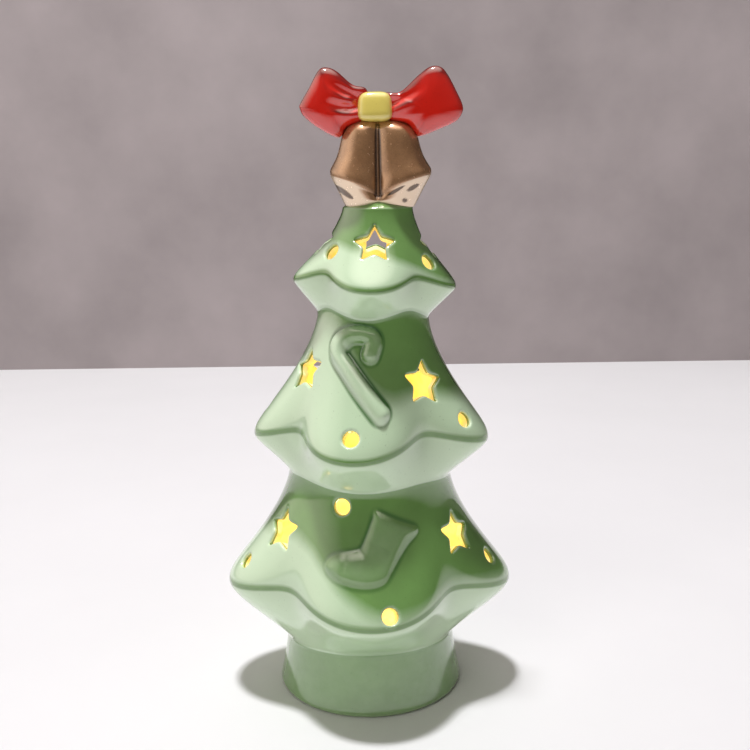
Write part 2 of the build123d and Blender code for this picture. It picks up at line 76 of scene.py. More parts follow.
# Tiers: side and front radius, lip height, rise and notch of the valleys, turn in degrees, tilt, softness
TIERS = {
    "lower": dict(side=47.0, front=43.2, lip=35.8, rise=4.5, notch=0.23, turn=1.5, tilt=-0.5, soft=0.3,
                  below=TRUNK_NECK, above=LOWER_NECK),
    "middle": dict(side=38.4, front=35.1, lip=84.9, rise=4.9, notch=0.275, turn=-8.5, tilt=-0.2, soft=0.21,
                   below=LOWER_NECK, above=MIDDLE_NECK),
    "upper": dict(side=25.8, front=25.5, lip=134.4, rise=3.6, notch=0.23, turn=-5.0, tilt=-1.3, soft=0.1,
                  below=MIDDLE_NECK, above=UPPER_NECK),
}

# Cut-outs by tier: angle from the front in degrees, share of the skirt's height
STARS = {
    "upper": ((-2.3, 0.58), (89.0, 0.55), (179.0, 0.58), (269.0, 0.55)),
    "middle": ((-63.6, 0.54), (42.8, 0.46), (130.0, 0.52), (226.0, 0.5)),
    "lower": ((-61.1, 0.54), (60.5, 0.51), (124.0, 0.53), (236.0, 0.52)),
}
DOTS = {
    "upper": ((-53.3, 0.35), (59.4, 0.3), (131.0, 0.32), (221.0, 0.34)),
    "middle": ((-9.8, 0.18), (64.3, 0.18), (172.0, 0.19), (262.0, 0.24)),
    "lower": ((8.2, 0.105), (77.8, 0.25), (182.0, 0.16), (283.0, 0.22), (-18.4, 0.87), (160.0, 0.86)),
}
STAR_RADIUS = 7.4
SMALL_STAR_RADIUS = 6.6
STAR_INNER = 0.5
STAR_POINTS = 5
STAR_STEPS = 9
STAR_PASSES = 3
DOT_RADIUS = 2.5
DOT_STEPS = 48
RIM_ROUND = 0.9
RIM_OFFSETS = (0.1, 0.28, 0.55, 0.9, 1.35)
RIM_CLEAR = 0.93

# Windows in the grid round the cut-outs: room beside the outline, and how near to it grid points may be
RIM_ROOM = 1.8
RIM_GAP = 1.65
INNER_ROOM = 0.7
INNER_GAP = 0.35
WINDOW_STEPS = 7
WALL_STEPS = 4
FIND_PASSES = 14
FIND_REACH = 5
TRIANGLE_GAP = 1e-7

# Painted reflection of the bright room, pale over the hems and higher on the left where the light comes from:
# share of each skirt that it reaches on the right and on the left, and where that changes
SHEEN_REACH = {"lower": (0.06, 0.53, -0.28), "middle": (0.38, 0.95, -0.2), "upper": (0.06, 0.47, 0.45)}
SHEEN_TURN = 1.1
SHEEN_SOFT = 0.25
# How pale the trunk is made and how pale the thin glaze over the reliefs is, then the darker line along each
# lip, row by row from HEM_LEAD rows under it
TRUNK_PALE = 0.2
RELIEF_THIN = 0.26
HEM_LINE = (0.75, 0.2, -0.55, -0.45, 0.1, 0.45, 0.75)
HEM_LEAD = 2

# Reliefs in the front view, x and height
CANE_LINE = ((4.3, 98.3), (-1.4, 105.3), (-5.5, 110.9), (-8.0, 114.6), (-7.6, 117.9),
             (-5.2, 120.2), (-1.9, 120.9), (1.2, 120.3), (2.5, 118.6), (1.5, 115.0))
CANE_HALF_WIDTH = 2.5
CANE_RISE = 2.1
CANE_FOOT = 1.12
CANE_POWER = 0.85
STOCKING_LINE = ((2.5, 68.0), (8.5, 65.2), (14.4, 62.3), (14.9, 60.5), (12.2, 58.2), (9.6, 54.9),
                 (7.1, 51.1), (4.9, 48.2), (0.1, 47.1), (-6.1, 47.6), (-10.6, 49.0), (-13.0, 51.3),
                 (-12.1, 53.8), (-9.2, 55.6), (-3.3, 56.8), (-1.7, 57.8), (-0.1, 61.2), (1.7, 66.0))
STOCKING_STEPS = 4
STOCKING_RISE = 1.7
STOCKING_ROUND = 4.2
STOCKING_LEAD = 0.3
STOCKING_POWER = 2.2
STOCKING_SEAMS = (((0.9, 59.3), (6.0, 56.4)), ((-6.7, 55.3), (-7.4, 50.8)), ((-1.7, 56.4), (0.2, 53.2)))
SEAM_START = 0.4
SEAM_DEPTH = 0.14
SEAM_WIDTH = 0.55

# Bells: side height, half width, one bell's radius and the drop at the groove, from the seat to the top
BELL_X = 4.5
BELL_ROWS = ((158.0, 10.6, 7.6, -2.2), (160.6, 11.9, 8.0, 0.2), (163.4, 13.3, 8.3, 2.8),
             (166.0, 14.7, 8.6, 5.0), (167.2, 15.3, 8.8, 5.6), (168.2, 15.6, 8.9, 5.7),
             (169.6, 15.5, 8.8, 5.4), (171.4, 14.5, 8.3, 4.8), (173.4, 13.4, 7.8, 3.9),
             (176.0, 12.5, 7.3, 2.9), (178.8, 11.8, 6.9, 2.1), (180.8, 11.1, 6.5, 1.5),
             (182.4, 9.9, 5.8, 1.1), (183.5, 8.0, 4.7, 0.9), (184.2, 5.6, 3.4, 0.7), (184.6, 0.2, 0.2, 0.0))
BELL_DEPTH = 1.14
BELL_SKEW = 0.055
BELL_COLUMNS = 192
BELL_STEPS = 9
GROOVE_SOFT = 0.1
GROOVE_RIB = 0.4
GROOVE_RIB_WIDTH = 0.05

# Dark strokes on the bells' rims in the front view: both ends and the half width
BELL_STROKES = (((-8.7, 164.8), (-3.2, 161.0), 0.85), ((7.3, 161.9), (12.3, 164.7), 0.5),
                ((13.3, 163.2), (16.7, 165.0), 0.7), ((12.0, 160.4), (13.0, 160.2), 0.65))
STROKE_SOFT = 1.5
STROKE_FADE = 2.5

# Bow: outlines and creases in the front view, x and height
BOW_Y = -2.0
LEFT_LOOP = ((1.5, 193.0), (-2.9, 194.7), (-7.7, 198.7), (-11.1, 199.8), (-13.3, 198.6),
             (-15.9, 194.0), (-18.8, 189.3), (-18.9, 187.7), (-17.7, 185.4), (-13.7, 182.2),
             (-8.4, 179.3), (-6.4, 179.7), (-4.6, 182.4), (1.5, 185.2))
RIGHT_LOOP = ((6.5, 191.8), (11.5, 192.4), (17.1, 197.2), (20.6, 199.6), (23.7, 199.5),
              (25.9, 197.2), (28.4, 192.6), (30.4, 188.2), (30.1, 185.6), (28.2, 183.4),
              (23.7, 181.4), (17.6, 179.2), (15.7, 180.4), (13.4, 183.0), (6.5, 185.0))
LEFT_CREASES = (((-13.0, 196.2), (-6.0, 192.9), (0.0, 190.2)), ((-13.0, 189.4), (-6.0, 188.1), (0.0, 188.4)))
RIGHT_CREASES = (((23.0, 196.6), (15.8, 191.9), (8.0, 188.9)),)
LOOP_STEPS = 8
LOOP_RINGS = 40
LOOP_CROWD = 1.25
LOOP_DEPTH = 4.4
LOOP_SAG = 2.6
LOOP_PINCH = 0.62
LOOP_PINCH_REACH = 13.0
LOOP_POWER = 0.72
CREASE_DEPTH = 2.0
CREASE_WIDTH = 1.45
CREASE_START = 1.35
CREASE_REACH = 12.5
RIDGE_RISE = 0.5
RIDGE_DROP = 2.3
KNOT_MIDDLE = (3.8, -2.0, 188.1)
KNOT_HALF = (5.3, 4.5, 4.5)
KNOT_TAPER = (0.07, 0.22)
KNOT_POWER = 0.55
KNOT_RINGS = 49
KNOT_COLUMNS = 96

# Mesh steps
COLUMNS = 480
ROW_STEP = 0.5
ARC_STEPS = 9
LINE_STEPS = 6
FOOT_ROUND_ROWS = 6
TIP_ROWS = 10
INNER_TRUNK_ROWS = 12
INNER_COARSE = 2
LIT_FOOT_ROWS = 4
CREASE_ROWS = 3.0
CREASE_PULL = 0.4
CREASE_PASSES = 10
angles = 2 * math.pi * np.arange(COLUMNS) / COLUMNS

# Material slots of the tree, and the colour sockets of a mix node
GLAZED, LIT, BARE, RIM = range(4)
MIX_COLOURS = (6, 7)
MIX_RESULT = 2

# Glaze thickness over edges: shortest edge squared, strongest bend and how far a bend spreads in a pass
EDGE_LEAST = 0.02
BEND_MOST = 1.5
BEND_SPREAD = 0.6


def lean_at(height):
    """How far the tree's axis has moved to the side at a height."""
    return LEAN * (np.maximum(height - LEAN_BASE, 0) / (LEAN_HEIGHT - LEAN_BASE)) ** 2


def valley(sizes, angle):
    """0 in the middle of a lobe, 1 at the bottom of a valley."""
    swing = np.cos(LOBES / 2 * (angle - math.radians(sizes["turn"])))
    return 1 - (np.hypot(swing, VALLEY_SOFT) - VALLEY_SOFT) / (math.hypot(1, VALLEY_SOFT) - VALLEY_SOFT)


def soft_run(run, soft):
    """A run from 0 to 1 that starts gently, so that the lip is round."""
    return (math.hypot(run, soft) - soft) / (math.hypot(1, soft) - soft)


def neck_wave(edge, angle):
    """How far a neck lies over or under its height, round the tree."""
    return edge["tilt"] * np.sin(angle) + edge["arch"] * np.cos(angle) ** 2


def skin(sizes, angle, share, inset=0.0, lip_inset=0.0):
    """Points of a tier: share runs from -1 at the neck below over 0 at the lip to 1 at the neck above."""
    run = abs(share)
    if share > 0:
        edge = sizes["above"]
        spread = (1 - soft_run(run, SKIRT_SOFT)) ** SKIRT_FLARE
    else:
        edge = sizes["below"]
        spread = (1 - soft_run(run, sizes["soft"])) ** UNDERSIDE_FLARE
    inner = edge["radius"] - inset
    cut = 1 - sizes["notch"] * spread * valley(sizes, angle)
    side = (inner + (sizes["side"] - lip_inset - inner) * spread) * cut
    front = (inner + (sizes["front"] - lip_inset - inner) * spread) * cut
    height = sizes["lip"] + (edge["height"] - sizes["lip"]) * run
    height = height + spread * sizes["rise"] * valley(sizes, angle)
    height = height + (1 - run) * sizes["tilt"] * np.sin(angle) + run * neck_wave(edge, angle)
    height = height + run ** SCALLOP_FADE * edge["scallop"] * valley(edge, angle)
    return np.stack([lean_at(height) + side * np.sin(angle), -front * np.cos(angle), height], axis=-1)


def ring(radius, height, x=0.0):
    """A round ring; radius and height are one number or one for each column."""
    side = x + radius * np.sin(angles)
    return np.stack([side, -radius * np.cos(angles), height + 0 * angles], axis=-1)


def trunk_radius(share):
    """Radius of the trunk's outside at a share of its height."""
    return TRUNK_NECK["radius"] + (FOOT_RADIUS - TRUNK_NECK["radius"]) * (1 - share) ** TRUNK_FLARE


def trunk_top():
    """Height of the trunk's top round the tree."""
    return TRUNK_NECK["height"] + neck_wave(TRUNK_NECK, angles)


def arc_rows(sizes, low, high):
    """How many rows a stretch of a tier needs."""
    lobe = np.array([math.radians(sizes["turn"])])
    ends = [skin(sizes, lobe, share)[0] for share in np.linspace(low, high, ARC_STEPS)]
    length = sum(np.linalg.norm(b - a) for a, b in zip(ends, ends[1:]))
    return int(math.ceil(length / ROW_STEP))


def outer_table():
    """Rings of the outside from the foot's rounding to the tip, with the row of each lip and neck."""
    rings = []
    first_share = FOOT_ROUND / TRUNK_NECK["height"]
    for turn in np.linspace(0, math.pi / 2, FOOT_ROUND_ROWS):
        radius = trunk_radius(first_share) - FOOT_ROUND * (1 - math.sin(turn))
        rings.append(ring(radius, FOOT_ROUND * (1 - math.cos(turn))))
    rise = trunk_top() - FOOT_ROUND
    for share in np.linspace(first_share, 1, int(TRUNK_NECK["height"] / ROW_STEP))[1:-1]:
        height = FOOT_ROUND + rise * (share - first_share) / (1 - first_share)
        rings.append(ring(trunk_radius(share), height))
    places = {}
    for name, sizes in TIERS.items():
        under = arc_rows(sizes, -1, 0)
        over = arc_rows(sizes, 0, 1)
        places[name] = dict(neck=len(rings), lip=len(rings) + under, rows=over)
        rings += [skin(sizes, angles, share) for share in np.linspace(-1, 0, under + 1)[:-1]]
        rings += [skin(sizes, angles, share) for share in np.linspace(0, 1, over + 1)[:-1]]
    for run in np.linspace(0, 1, TIP_ROWS):
        radius = UPPER_NECK["radius"] + (TIP_RADIUS - UPPER_NECK["radius"]) * run
        rings.append(ring(radius, UPPER_NECK["height"] + TIP_HEIGHT * run, lean_at(UPPER_NECK["height"])))
    return np.array(rings), places


def fill_creases(table, places):
    """Fills each crease between tiers a little, as glaze does."""
    rows = np.arange(len(table))
    weight = sum(np.exp(-((rows - place["neck"]) / CREASE_ROWS) ** 2) for place in places.values())
    for _ in range(CREASE_PASSES):
        mean = (table[:-2] + table[2:]) / 2
        table[1:-1] += (CREASE_PULL * weight[1:-1])[:, None, None] * (mean - table[1:-1])
    return table


def sheen_and_thin_table(places, lifts):
    """How pale the outside is made: painted reflection of the room on the hems, higher on the left where the
    light comes from, painted reflection of the floor on the undersides, a paler trunk, thin glaze over the
    reliefs and a darker line along each lip.
    """
    sheen_and_thin = np.zeros(lifts.shape)
    sheen_and_thin[:places["lower"]["neck"]] = TRUNK_PALE
    for name, place in places.items():
        # Painted reflection on the hems, reaching higher on the left, where the light comes from.
        right, left, change = SHEEN_REACH[name]
        lip = place["lip"]
        reach = right + (left - right) * ease(0.5 - (np.sin(angles) - change) / SHEEN_TURN)
        over = np.arange(place["rows"])[:, None] / place["rows"]
        sheen_and_thin[lip:lip + place["rows"]] = ease((reach - over) / SHEEN_SOFT + 0.5)
        # Painted reflection of the white floor: the undersides are pale all over.
        sheen_and_thin[place["neck"]:lip] = 1.0
        hem = slice(lip - HEM_LEAD, lip - HEM_LEAD + len(HEM_LINE))
        sheen_and_thin[hem] = np.minimum(sheen_and_thin[hem], np.array(HEM_LINE)[:, None])
    raised = np.maximum(sheen_and_thin, RELIEF_THIN * ease(lifts / STOCKING_RISE))
    return np.where(lifts > 0, raised, sheen_and_thin)


def table_normals(table):
    """Outward normals of a table of rings."""
    around = np.roll(table, -1, axis=1) - np.roll(table, 1, axis=1)
    normal = np.cross(around, np.gradient(table, axis=0))
    return normal / np.linalg.norm(normal, axis=-1, keepdims=True)


def line_distance(points, line, closed=False):
    """Distance of plane points from a line through corners."""
    line = np.asarray(line, float)
    ends = np.roll(line, -1, axis=0) if closed else line[1:]
    starts = line if closed else line[:-1]
    best = np.full(len(points), np.inf)
    for start, end in zip(starts, ends):
        along = end - start
        share = np.clip((points - start) @ along / (along @ along), 0, 1)
        best = np.minimum(best, np.linalg.norm(points - start - share[:, None] * along, axis=1))
    return best


def inside(points, outline):
    """Which plane points lie in a closed outline."""
    outline = np.asarray(outline, float)
    found = np.zeros(len(points), bool)
    for (x0, y0), (x1, y1) in zip(outline, np.roll(outline, -1, axis=0)):
        spans = (y0 > points[:, 1]) != (y1 > points[:, 1])
        with np.errstate(divide="ignore", invalid="ignore"):
            cross = x0 + (points[:, 1] - y0) / (y1 - y0) * (x1 - x0)
        found ^= spans & (points[:, 0] < cross)
    return found


def smooth_line(corners, steps, closed=False):
    """A smooth line through corners."""
    corners = np.asarray(corners, float)
    if closed:
        padded = np.concatenate([corners[-1:], corners, corners[:2]])
    else:
        padded = np.concatenate([2 * corners[:1] - corners[1:2], corners, 2 * corners[-1:] - corners[-2:-1]])
    points = []
    for a, b, c, d in zip(padded, padded[1:], padded[2:], padded[3:]):
        for t in np.arange(steps) / steps:
            points.append(0.5 * (2 * b + (c - a) * t + (2 * a - 5 * b + 4 * c - d) * t ** 2
                                 + (3 * b - a - 3 * c + d) * t ** 3))
    return np.array(points if closed else points + [corners[-1]])


def ease(value):
    """A soft step from 0 to 1."""
    value = np.clip(value, 0, 1)
    return value * value * (3 - 2 * value)


def cane_rise(points):
    """Height of the cane over its ground, half round with a soft foot."""
    off = line_distance(points, smooth_line(CANE_LINE, LINE_STEPS)) / CANE_HALF_WIDTH
    return CANE_RISE * np.clip(1 - (off / CANE_FOOT) ** 2, 0, 1) ** CANE_POWER


def stocking_rise(points):
    """Height of the stocking over its ground, a low cushion with three shallow seams."""
    outline = smooth_line(STOCKING_LINE, STOCKING_STEPS, closed=True)
    off = line_distance(points, outline, closed=True)
    off = np.where(inside(points, outline), off, -off)
    run = np.clip((off + STOCKING_LEAD) / STOCKING_ROUND, 0, 1)
    rise = STOCKING_RISE * (1 - (1 - run) ** STOCKING_POWER)
    for seam in STOCKING_SEAMS:
        groove = SEAM_DEPTH * np.exp(-(line_distance(points, seam) / SEAM_WIDTH) ** 2)
        rise -= groove * (off > SEAM_START)
    return rise


def raise_reliefs(table, places):
    """Lifts the front of the skirts where the reliefs are, and returns how far with the new table."""
    normal = table_normals(table)
    lifts = np.zeros(table.shape[:2])
    for name, rise_at in (("middle", cane_rise), ("lower", stocking_rise)):
        place = places[name]
        rows = slice(place["lip"] + 1, place["lip"] + place["rows"] - 1)
        part = table[rows]
        front = part[..., 1] < 0
        lift = np.zeros(part.shape[:2])
        lift[front] = rise_at(part[front][:, [0, 2]])
        lift = (lift + np.roll(lift, 1, axis=1) + np.roll(lift, -1, axis=1)) / 3
        lift[1:-1] = (lift[:-2] + lift[1:-1] + lift[2:]) / 3
        table[rows] = part + lift[..., None] * normal[rows]
        lifts[rows] = lift
    return table, lifts


def inner_table():
    """Rings of the hollow from its ceiling down to the floor, with the row of each lip."""
    rings = []
    places = {}
    for name in ("upper", "middle", "lower"):
        sizes = TIERS[name]
        top = CEILING_SHARE if name == "upper" else 1.0
        over = int(arc_rows(sizes, 0, 1) * top) // INNER_COARSE
        under = arc_rows(sizes, -1, 0) // INNER_COARSE
        places[name] = dict(lip=len(rings) + over, rows=over / top)
        shares = [*np.linspace(top, 0, over + 1), *np.linspace(0, -1, under + 1)[1:]]
        rings += [skin(sizes, angles, share, WALL, LIP_WALL) for share in shares]
        if name != "lower":
            rings.pop()
    rise = trunk_top() - FLOOR_TOP
    for share in np.linspace(1, 0, INNER_TRUNK_ROWS)[1:]:
        radius = trunk_radius(FLOOR_TOP / TRUNK_NECK["height"] * (1 - share) + share)
        rings.append(ring(radius - WALL, FLOOR_TOP + rise * share))
    return np.array(rings), places


def foot_table():
    """Rings from the hollow's floor through the opening to the foot's flat ring."""
    inner = trunk_radius(FLOOR_TOP / TRUNK_NECK["height"]) - WALL
    profile = (
        (inner - FOOT_EDGE, FLOOR_TOP),
        (OPENING_RADIUS + FOOT_EDGE, FLOOR_TOP),
        (OPENING_RADIUS, FLOOR_TOP - FOOT_EDGE),
        (OPENING_RADIUS, RECESS_TOP + FOOT_EDGE),
        (OPENING_RADIUS + FOOT_EDGE, RECESS_TOP),
        (RECESS_RADIUS - FOOT_EDGE, RECESS_TOP),
        (RECESS_RADIUS, RECESS_TOP - FOOT_EDGE),
        (RECESS_RADIUS, FOOT_EDGE),
        (RECESS_RADIUS + FOOT_EDGE, 0.0),
    )
    return np.array([ring(radius, height) for radius, height in profile])


def read(table, column, row):
    """A smooth reading of a table of rings between its points."""
    rows = len(table)
    c0 = np.floor(column).astype(int)
    r0 = np.clip(np.floor(row).astype(int), 0, rows - 2)

    def weights(t):
        before = -t + 2 * t ** 2 - t ** 3
        here = 2 - 5 * t ** 2 + 3 * t ** 3
        ahead = t + 4 * t ** 2 - 3 * t ** 3
        return np.stack([before, here, ahead, -t ** 2 + t ** 3]) / 2

    across = weights(column - c0)
    upward = weights(row - r0)
    out = np.zeros((len(c0), 3))
    for a in range(4):
        for b in range(4):
            point = table[np.clip(r0 + a - 1, 0, rows - 1), (c0 + b - 1) % COLUMNS]
            out += (upward[a] * across[b])[:, None] * point
    return out


def hole_frame(sizes, degrees, share):
    """Origin, right, up and outward directions of a cut-out."""
    angle = np.array([math.radians(degrees)])
    step = 0.01
    origin = skin(sizes, angle, share)[0]
    right = (skin(sizes, angle + step, share) - skin(sizes, angle - step, share))[0]
    up = (skin(sizes, angle, share + step) - skin(sizes, angle, share - step))[0]
    out = np.cross(right, up)
    right /= np.linalg.norm(right)
    out /= np.linalg.norm(out)
    return origin, right, np.cross(out, right), out


def on_plane(hole, points):
    """Places of points seen along a cut-out's axis."""
    origin, right, up, _ = hole["frame"]
    return np.stack([(points - origin) @ right, (points - origin) @ up], axis=-1)


def find(table, hole, targets, start):
    """Columns and rows at which a table lies under places of a cut-out's plane."""
    at = np.tile(np.asarray(start, float), (len(targets), 1))
    half_column = np.array([0.5, 0.0])
    half_row = np.array([0.0, 0.5])

    def seen(places):
        return on_plane(hole, read(table, *places.T))

    for _ in range(FIND_PASSES):
        miss = targets - seen(at)
        by_column = seen(at + half_column) - seen(at - half_column)
        by_row = seen(at + half_row) - seen(at - half_row)
        det = by_column[:, 0] * by_row[:, 1] - by_column[:, 1] * by_row[:, 0]
        across = (miss[:, 0] * by_row[:, 1] - miss[:, 1] * by_row[:, 0]) / det
        upward = (by_column[:, 0] * miss[:, 1] - by_column[:, 1] * miss[:, 0]) / det
        at += np.clip(np.stack([across, upward], axis=1), -FIND_REACH, FIND_REACH)
    return at


def star_outline(radius):
    """A star with glaze-softened corners, one point up."""
    numbers = np.arange(2 * STAR_POINTS)
    turns = math.pi / 2 + math.pi / STAR_POINTS * numbers
    reach = np.where(numbers % 2 == 0, radius, radius * STAR_INNER)
    corners = np.stack([reach * np.cos(turns), reach * np.sin(turns)], axis=1)
    steps = np.arange(STAR_STEPS)[:, None] / STAR_STEPS
    sides = zip(corners, np.roll(corners, -1, axis=0))
    points = np.concatenate([start + steps * (end - start) for start, end in sides])
    for _ in range(STAR_PASSES):
        points = 0.5 * points + 0.25 * (np.roll(points, 1, axis=0) + np.roll(points, -1, axis=0))
    return points


def dot_outline():
    """A round hole."""
    turns = 2 * math.pi * np.arange(DOT_STEPS) / DOT_STEPS
    return DOT_RADIUS * np.stack([np.cos(turns), np.sin(turns)], axis=1)


def all_holes():
    """Every cut-out with its outline and frame."""
    rows = [(name, place, star_outline(SMALL_STAR_RADIUS if name == "upper" else STAR_RADIUS))
            for name, places in STARS.items() for place in places]
    rows += [(name, place, dot_outline()) for name, places in DOTS.items() for place in places]
    return [dict(tier=name, degrees=place[0], share=place[1], outline=outline,
                 frame=hole_frame(TIERS[name], *place)) for name, place, outline in rows]


def hole_starts(holes, places, upward):
    """Column and row near the middle of each cut-out; upward is 1 or -1, the way the rows run."""
    starts = []
    for hole in holes:
        place = places[hole["tier"]]
        column = (hole["degrees"] % 360) / 360 * COLUMNS
        starts.append((column, place["lip"] + upward * hole["share"] * place["rows"]))
    return starts


def ring_points(outline):
    """Places round an outline at the rim's steps, dropped where two sides would cross."""
    ahead = np.roll(outline, -1, axis=0) - np.roll(outline, 1, axis=0)
    away = np.stack([ahead[:, 1], -ahead[:, 0]], axis=1) / np.linalg.norm(ahead, axis=1)[:, None]
    kept = []
    for offset in RIM_OFFSETS:
        moved = outline + away * offset
        clear = line_distance(moved, outline, closed=True) > RIM_CLEAR * offset
        kept.append(moved[clear & ~inside(moved, outline)])
    return np.concatenate(kept)


class Shell:
    """Vertices and faces of the tree, gathered from grids, windows and hole walls."""

    def __init__(self):
        self.points = []
        self.sheen_and_thin = []
        self.count = 0
        self.faces = []
        self.slots = []

    def add_points(self, points, sheen_and_thin=0.0):
        start = self.count
        self.points.append(np.asarray(points, float))
        self.sheen_and_thin.append(sheen_and_thin + np.zeros(len(points)))
        self.count += len(points)
        return start

    def add_faces(self, faces, slot):
        self.faces += faces
        self.slots += [slot] * len(faces)


def hole_window(table, hole, start, room):
    """First and last column and row of the grid cells that a cut-out replaces."""
    low = hole["outline"].min(axis=0) - room
    high = hole["outline"].max(axis=0) + room
    across, upward = np.linspace(low, high, WINDOW_STEPS).T
    at = find(table, hole, np.array(list(itertools.product(across, upward))), start)
    first = np.floor(at.min(axis=0)).astype(int).tolist()
    last = np.ceil(at.max(axis=0)).astype(int).tolist()
    return first[0], last[0], first[1], last[1]


def joined_window(one, other):
    """The window round two windows, or None where they don't touch."""
    turn = COLUMNS * round(((one[0] + one[1]) - (other[0] + other[1])) / 2 / COLUMNS)
    other = (other[0] + turn, other[1] + turn, other[2], other[3])
    lows = [max(one[k], other[k]) for k in (0, 2)]
    highs = [min(one[k], other[k]) for k in (1, 3)]
    if lows[0] > highs[0] or lows[1] > highs[1]:
        return None
    return min(one[0], other[0]), max(one[1], other[1]), min(one[2], other[2]), max(one[3], other[3])


def merge_windows(windows):
    """Groups of cut-outs whose windows touch, each with the window round the group."""
    groups = [(window, [number]) for number, window in enumerate(windows)]
    while True:
        for a, b in itertools.combinations(range(len(groups)), 2):
            window = joined_window(groups[a][0], groups[b][0])
            if window:
                groups[a] = (window, groups[a][1] + groups[b][1])
                groups.pop(b)
                break
        else:
            return groups


def hole_points(table, hole, start, with_rim):
    """Grid places and points of a cut-out's outline, then of the rounded rim round it."""
    outline = hole["outline"]
    places = np.concatenate([outline, ring_points(outline)]) if with_rim else outline
    at = find(table, hole, places, start)
    points = read(table, *at.T)
    if with_rim:
        near = np.clip(RIM_ROUND - line_distance(places, outline, closed=True), 0, None)
        drop = RIM_ROUND - np.sqrt(RIM_ROUND ** 2 - near ** 2)
        points = points - drop[:, None] * hole["frame"][3]
    return at, points


def window_border(c0, c1, r0, r1):
    """Grid places round a window."""
    return ([(c, r0) for c in range(c0, c1)] + [(c1, r) for r in range(r0, r1)]
            + [(c, r1) for c in range(c1, c0, -1)] + [(c0, r) for r in range(r1, r0, -1)])


def cell_size(table, c0, c1, r0, r1):
    """Width and height of a grid cell in the middle of a window."""
    row = min(max((r0 + r1) // 2, 1), len(table) - 2)
    column = ((c0 + c1) // 2) % COLUMNS
    here = table[row, column]
    width = np.linalg.norm(table[row, (column + 1) % COLUMNS] - here)
    return width, np.linalg.norm(table[row + 1, column] - here)


def window_triangles(flat, scale, loops, outlines):
    """Triangles between plane points, with the loops as edges and nothing in the outlines."""
    edges = [edge for loop in loops for edge in zip(loop, loop[1:] + loop[:1])]
    found = delaunay_2d_cdt([Vector(place) for place in flat * scale], edges, [], 0, TRIANGLE_GAP)
    source = np.array([origin[0] for origin in found[3]])
    triangles = source[np.array([face for face in found[2] if len(face) == 3])]
    middles = flat[triangles].mean(axis=1)
    is_open = np.zeros(len(triangles), bool)
    for outline in outlines:
        is_open |= inside(middles, outline)
    return triangles[~is_open]


def fill_window(shell, table, sheen_and_thin, first, window, group, with_rim, slot):
    """Adds the faces between a window's border and its cut-outs, and returns the vertices round each."""
    c0, c1, r0, r1 = window
    gap = RIM_GAP if with_rim else INNER_GAP
    grid_c, grid_r = [grid.ravel() for grid in np.meshgrid(np.arange(c0, c1 + 1), np.arange(r0, r1 + 1))]
    border = (grid_c == c0) | (grid_c == c1) | (grid_r == r0) | (grid_r == r1)
    keep = np.ones(len(grid_c), bool)
    found = []
    for hole, (column, row) in group:
        turn = COLUMNS * round(((c0 + c1) / 2 - column) / COLUMNS)
        found.append(hole_points(table, hole, (column + turn, row), with_rim))
        places = on_plane(hole, table[grid_r, grid_c % COLUMNS])
        off = line_distance(places, hole["outline"], closed=True)
        keep &= border | (~inside(places, hole["outline"]) & (off > gap))
    grid_c, grid_r = grid_c[keep], grid_r[keep]
    at = np.concatenate([places for places, _ in found])
    nearest = np.rint(at).astype(int)
    begin = shell.add_points(np.concatenate([points for _, points in found]),
                             sheen_and_thin[nearest[:, 1], nearest[:, 0] % COLUMNS])
    index = np.concatenate([first + grid_r * COLUMNS + grid_c % COLUMNS, begin + np.arange(len(at))])
    flat = np.concatenate([np.stack([grid_c, grid_r], axis=1).astype(float), at])
    number_of = {place: number for number, place in enumerate(zip(grid_c.tolist(), grid_r.tolist()))}
    loops = [[number_of[place] for place in window_border(*window)]]
    outlines = []
    start = len(grid_c)
    for (hole, _), (places, _) in zip(group, found):
        length = len(hole["outline"])
        loops.append(list(range(start, start + length)))
        outlines.append(places[:length])
        start += len(places)
    triangles = window_triangles(flat, cell_size(table, *window), loops, outlines)
    shell.add_faces(index[triangles].tolist(), slot)
    return [index[loop] for loop in loops[1:]]


def cut_table(shell, table, sheen_and_thin, first, holes, starts, with_rim, slot):
    """Adds a table's faces with the cut-outs left open, and returns the vertices round each cut-out."""
    room = RIM_ROOM if with_rim else INNER_ROOM
    windows = [hole_window(table, hole, start, room) for hole, start in zip(holes, starts)]
    removed = np.zeros((len(table) - 1, COLUMNS), bool)
    rims = {}
    for window, members in merge_windows(windows):
        c0, c1, r0, r1 = window
        removed[r0:r1, np.arange(c0, c1) % COLUMNS] = True
        group = [(holes[number], starts[number]) for number in members]
        rims.update(zip(members, fill_window(shell, table, sheen_and_thin, first, window, group, with_rim, slot)))
    row, column = np.nonzero(~removed)
    here = first + row * COLUMNS
    ahead = (column + 1) % COLUMNS
    quads = np.stack([here + column, here + ahead, here + COLUMNS + ahead, here + COLUMNS + column], axis=1)
    shell.add_faces(quads.tolist(), slot)
    return [rims[number] for number in range(len(holes))]


def band(low, high, columns):
    """Faces between two rings of points, given by the number of each ring's first point."""
    around = np.arange(columns)
    ahead = (around + 1) % columns
    return np.stack([low + around, low + ahead, high + ahead, high + around], axis=1).tolist()


def fan(first, middle, columns, turned=False):
    """Faces that close a ring of points with one point in its middle."""
    around = np.arange(columns)
    ahead = (around + 1) % columns
    a, b = (ahead, around) if turned else (around, ahead)
    return np.stack([first + a, first + b, np.full(columns, middle)], axis=1).tolist()


def hole_walls(shell, outer_rims, inner_rims):
    """Adds the wall of each cut-out between the outside and the hollow."""
    points = np.concatenate(shell.points)
    for outer, inner in zip(outer_rims, inner_rims):
        rings = [outer]
        for step in range(1, WALL_STEPS):
            share = step / WALL_STEPS
            start = shell.add_points((1 - share) * points[outer] + share * points[inner])
            rings.append(start + np.arange(len(outer)))
        rings.append(inner)
        for step, (high, low) in enumerate(zip(rings, rings[1:])):
            quads = np.stack([high, np.roll(high, -1), np.roll(low, -1), low], axis=1)
            shell.add_faces(quads.tolist(), RIM if step == 0 else LIT)


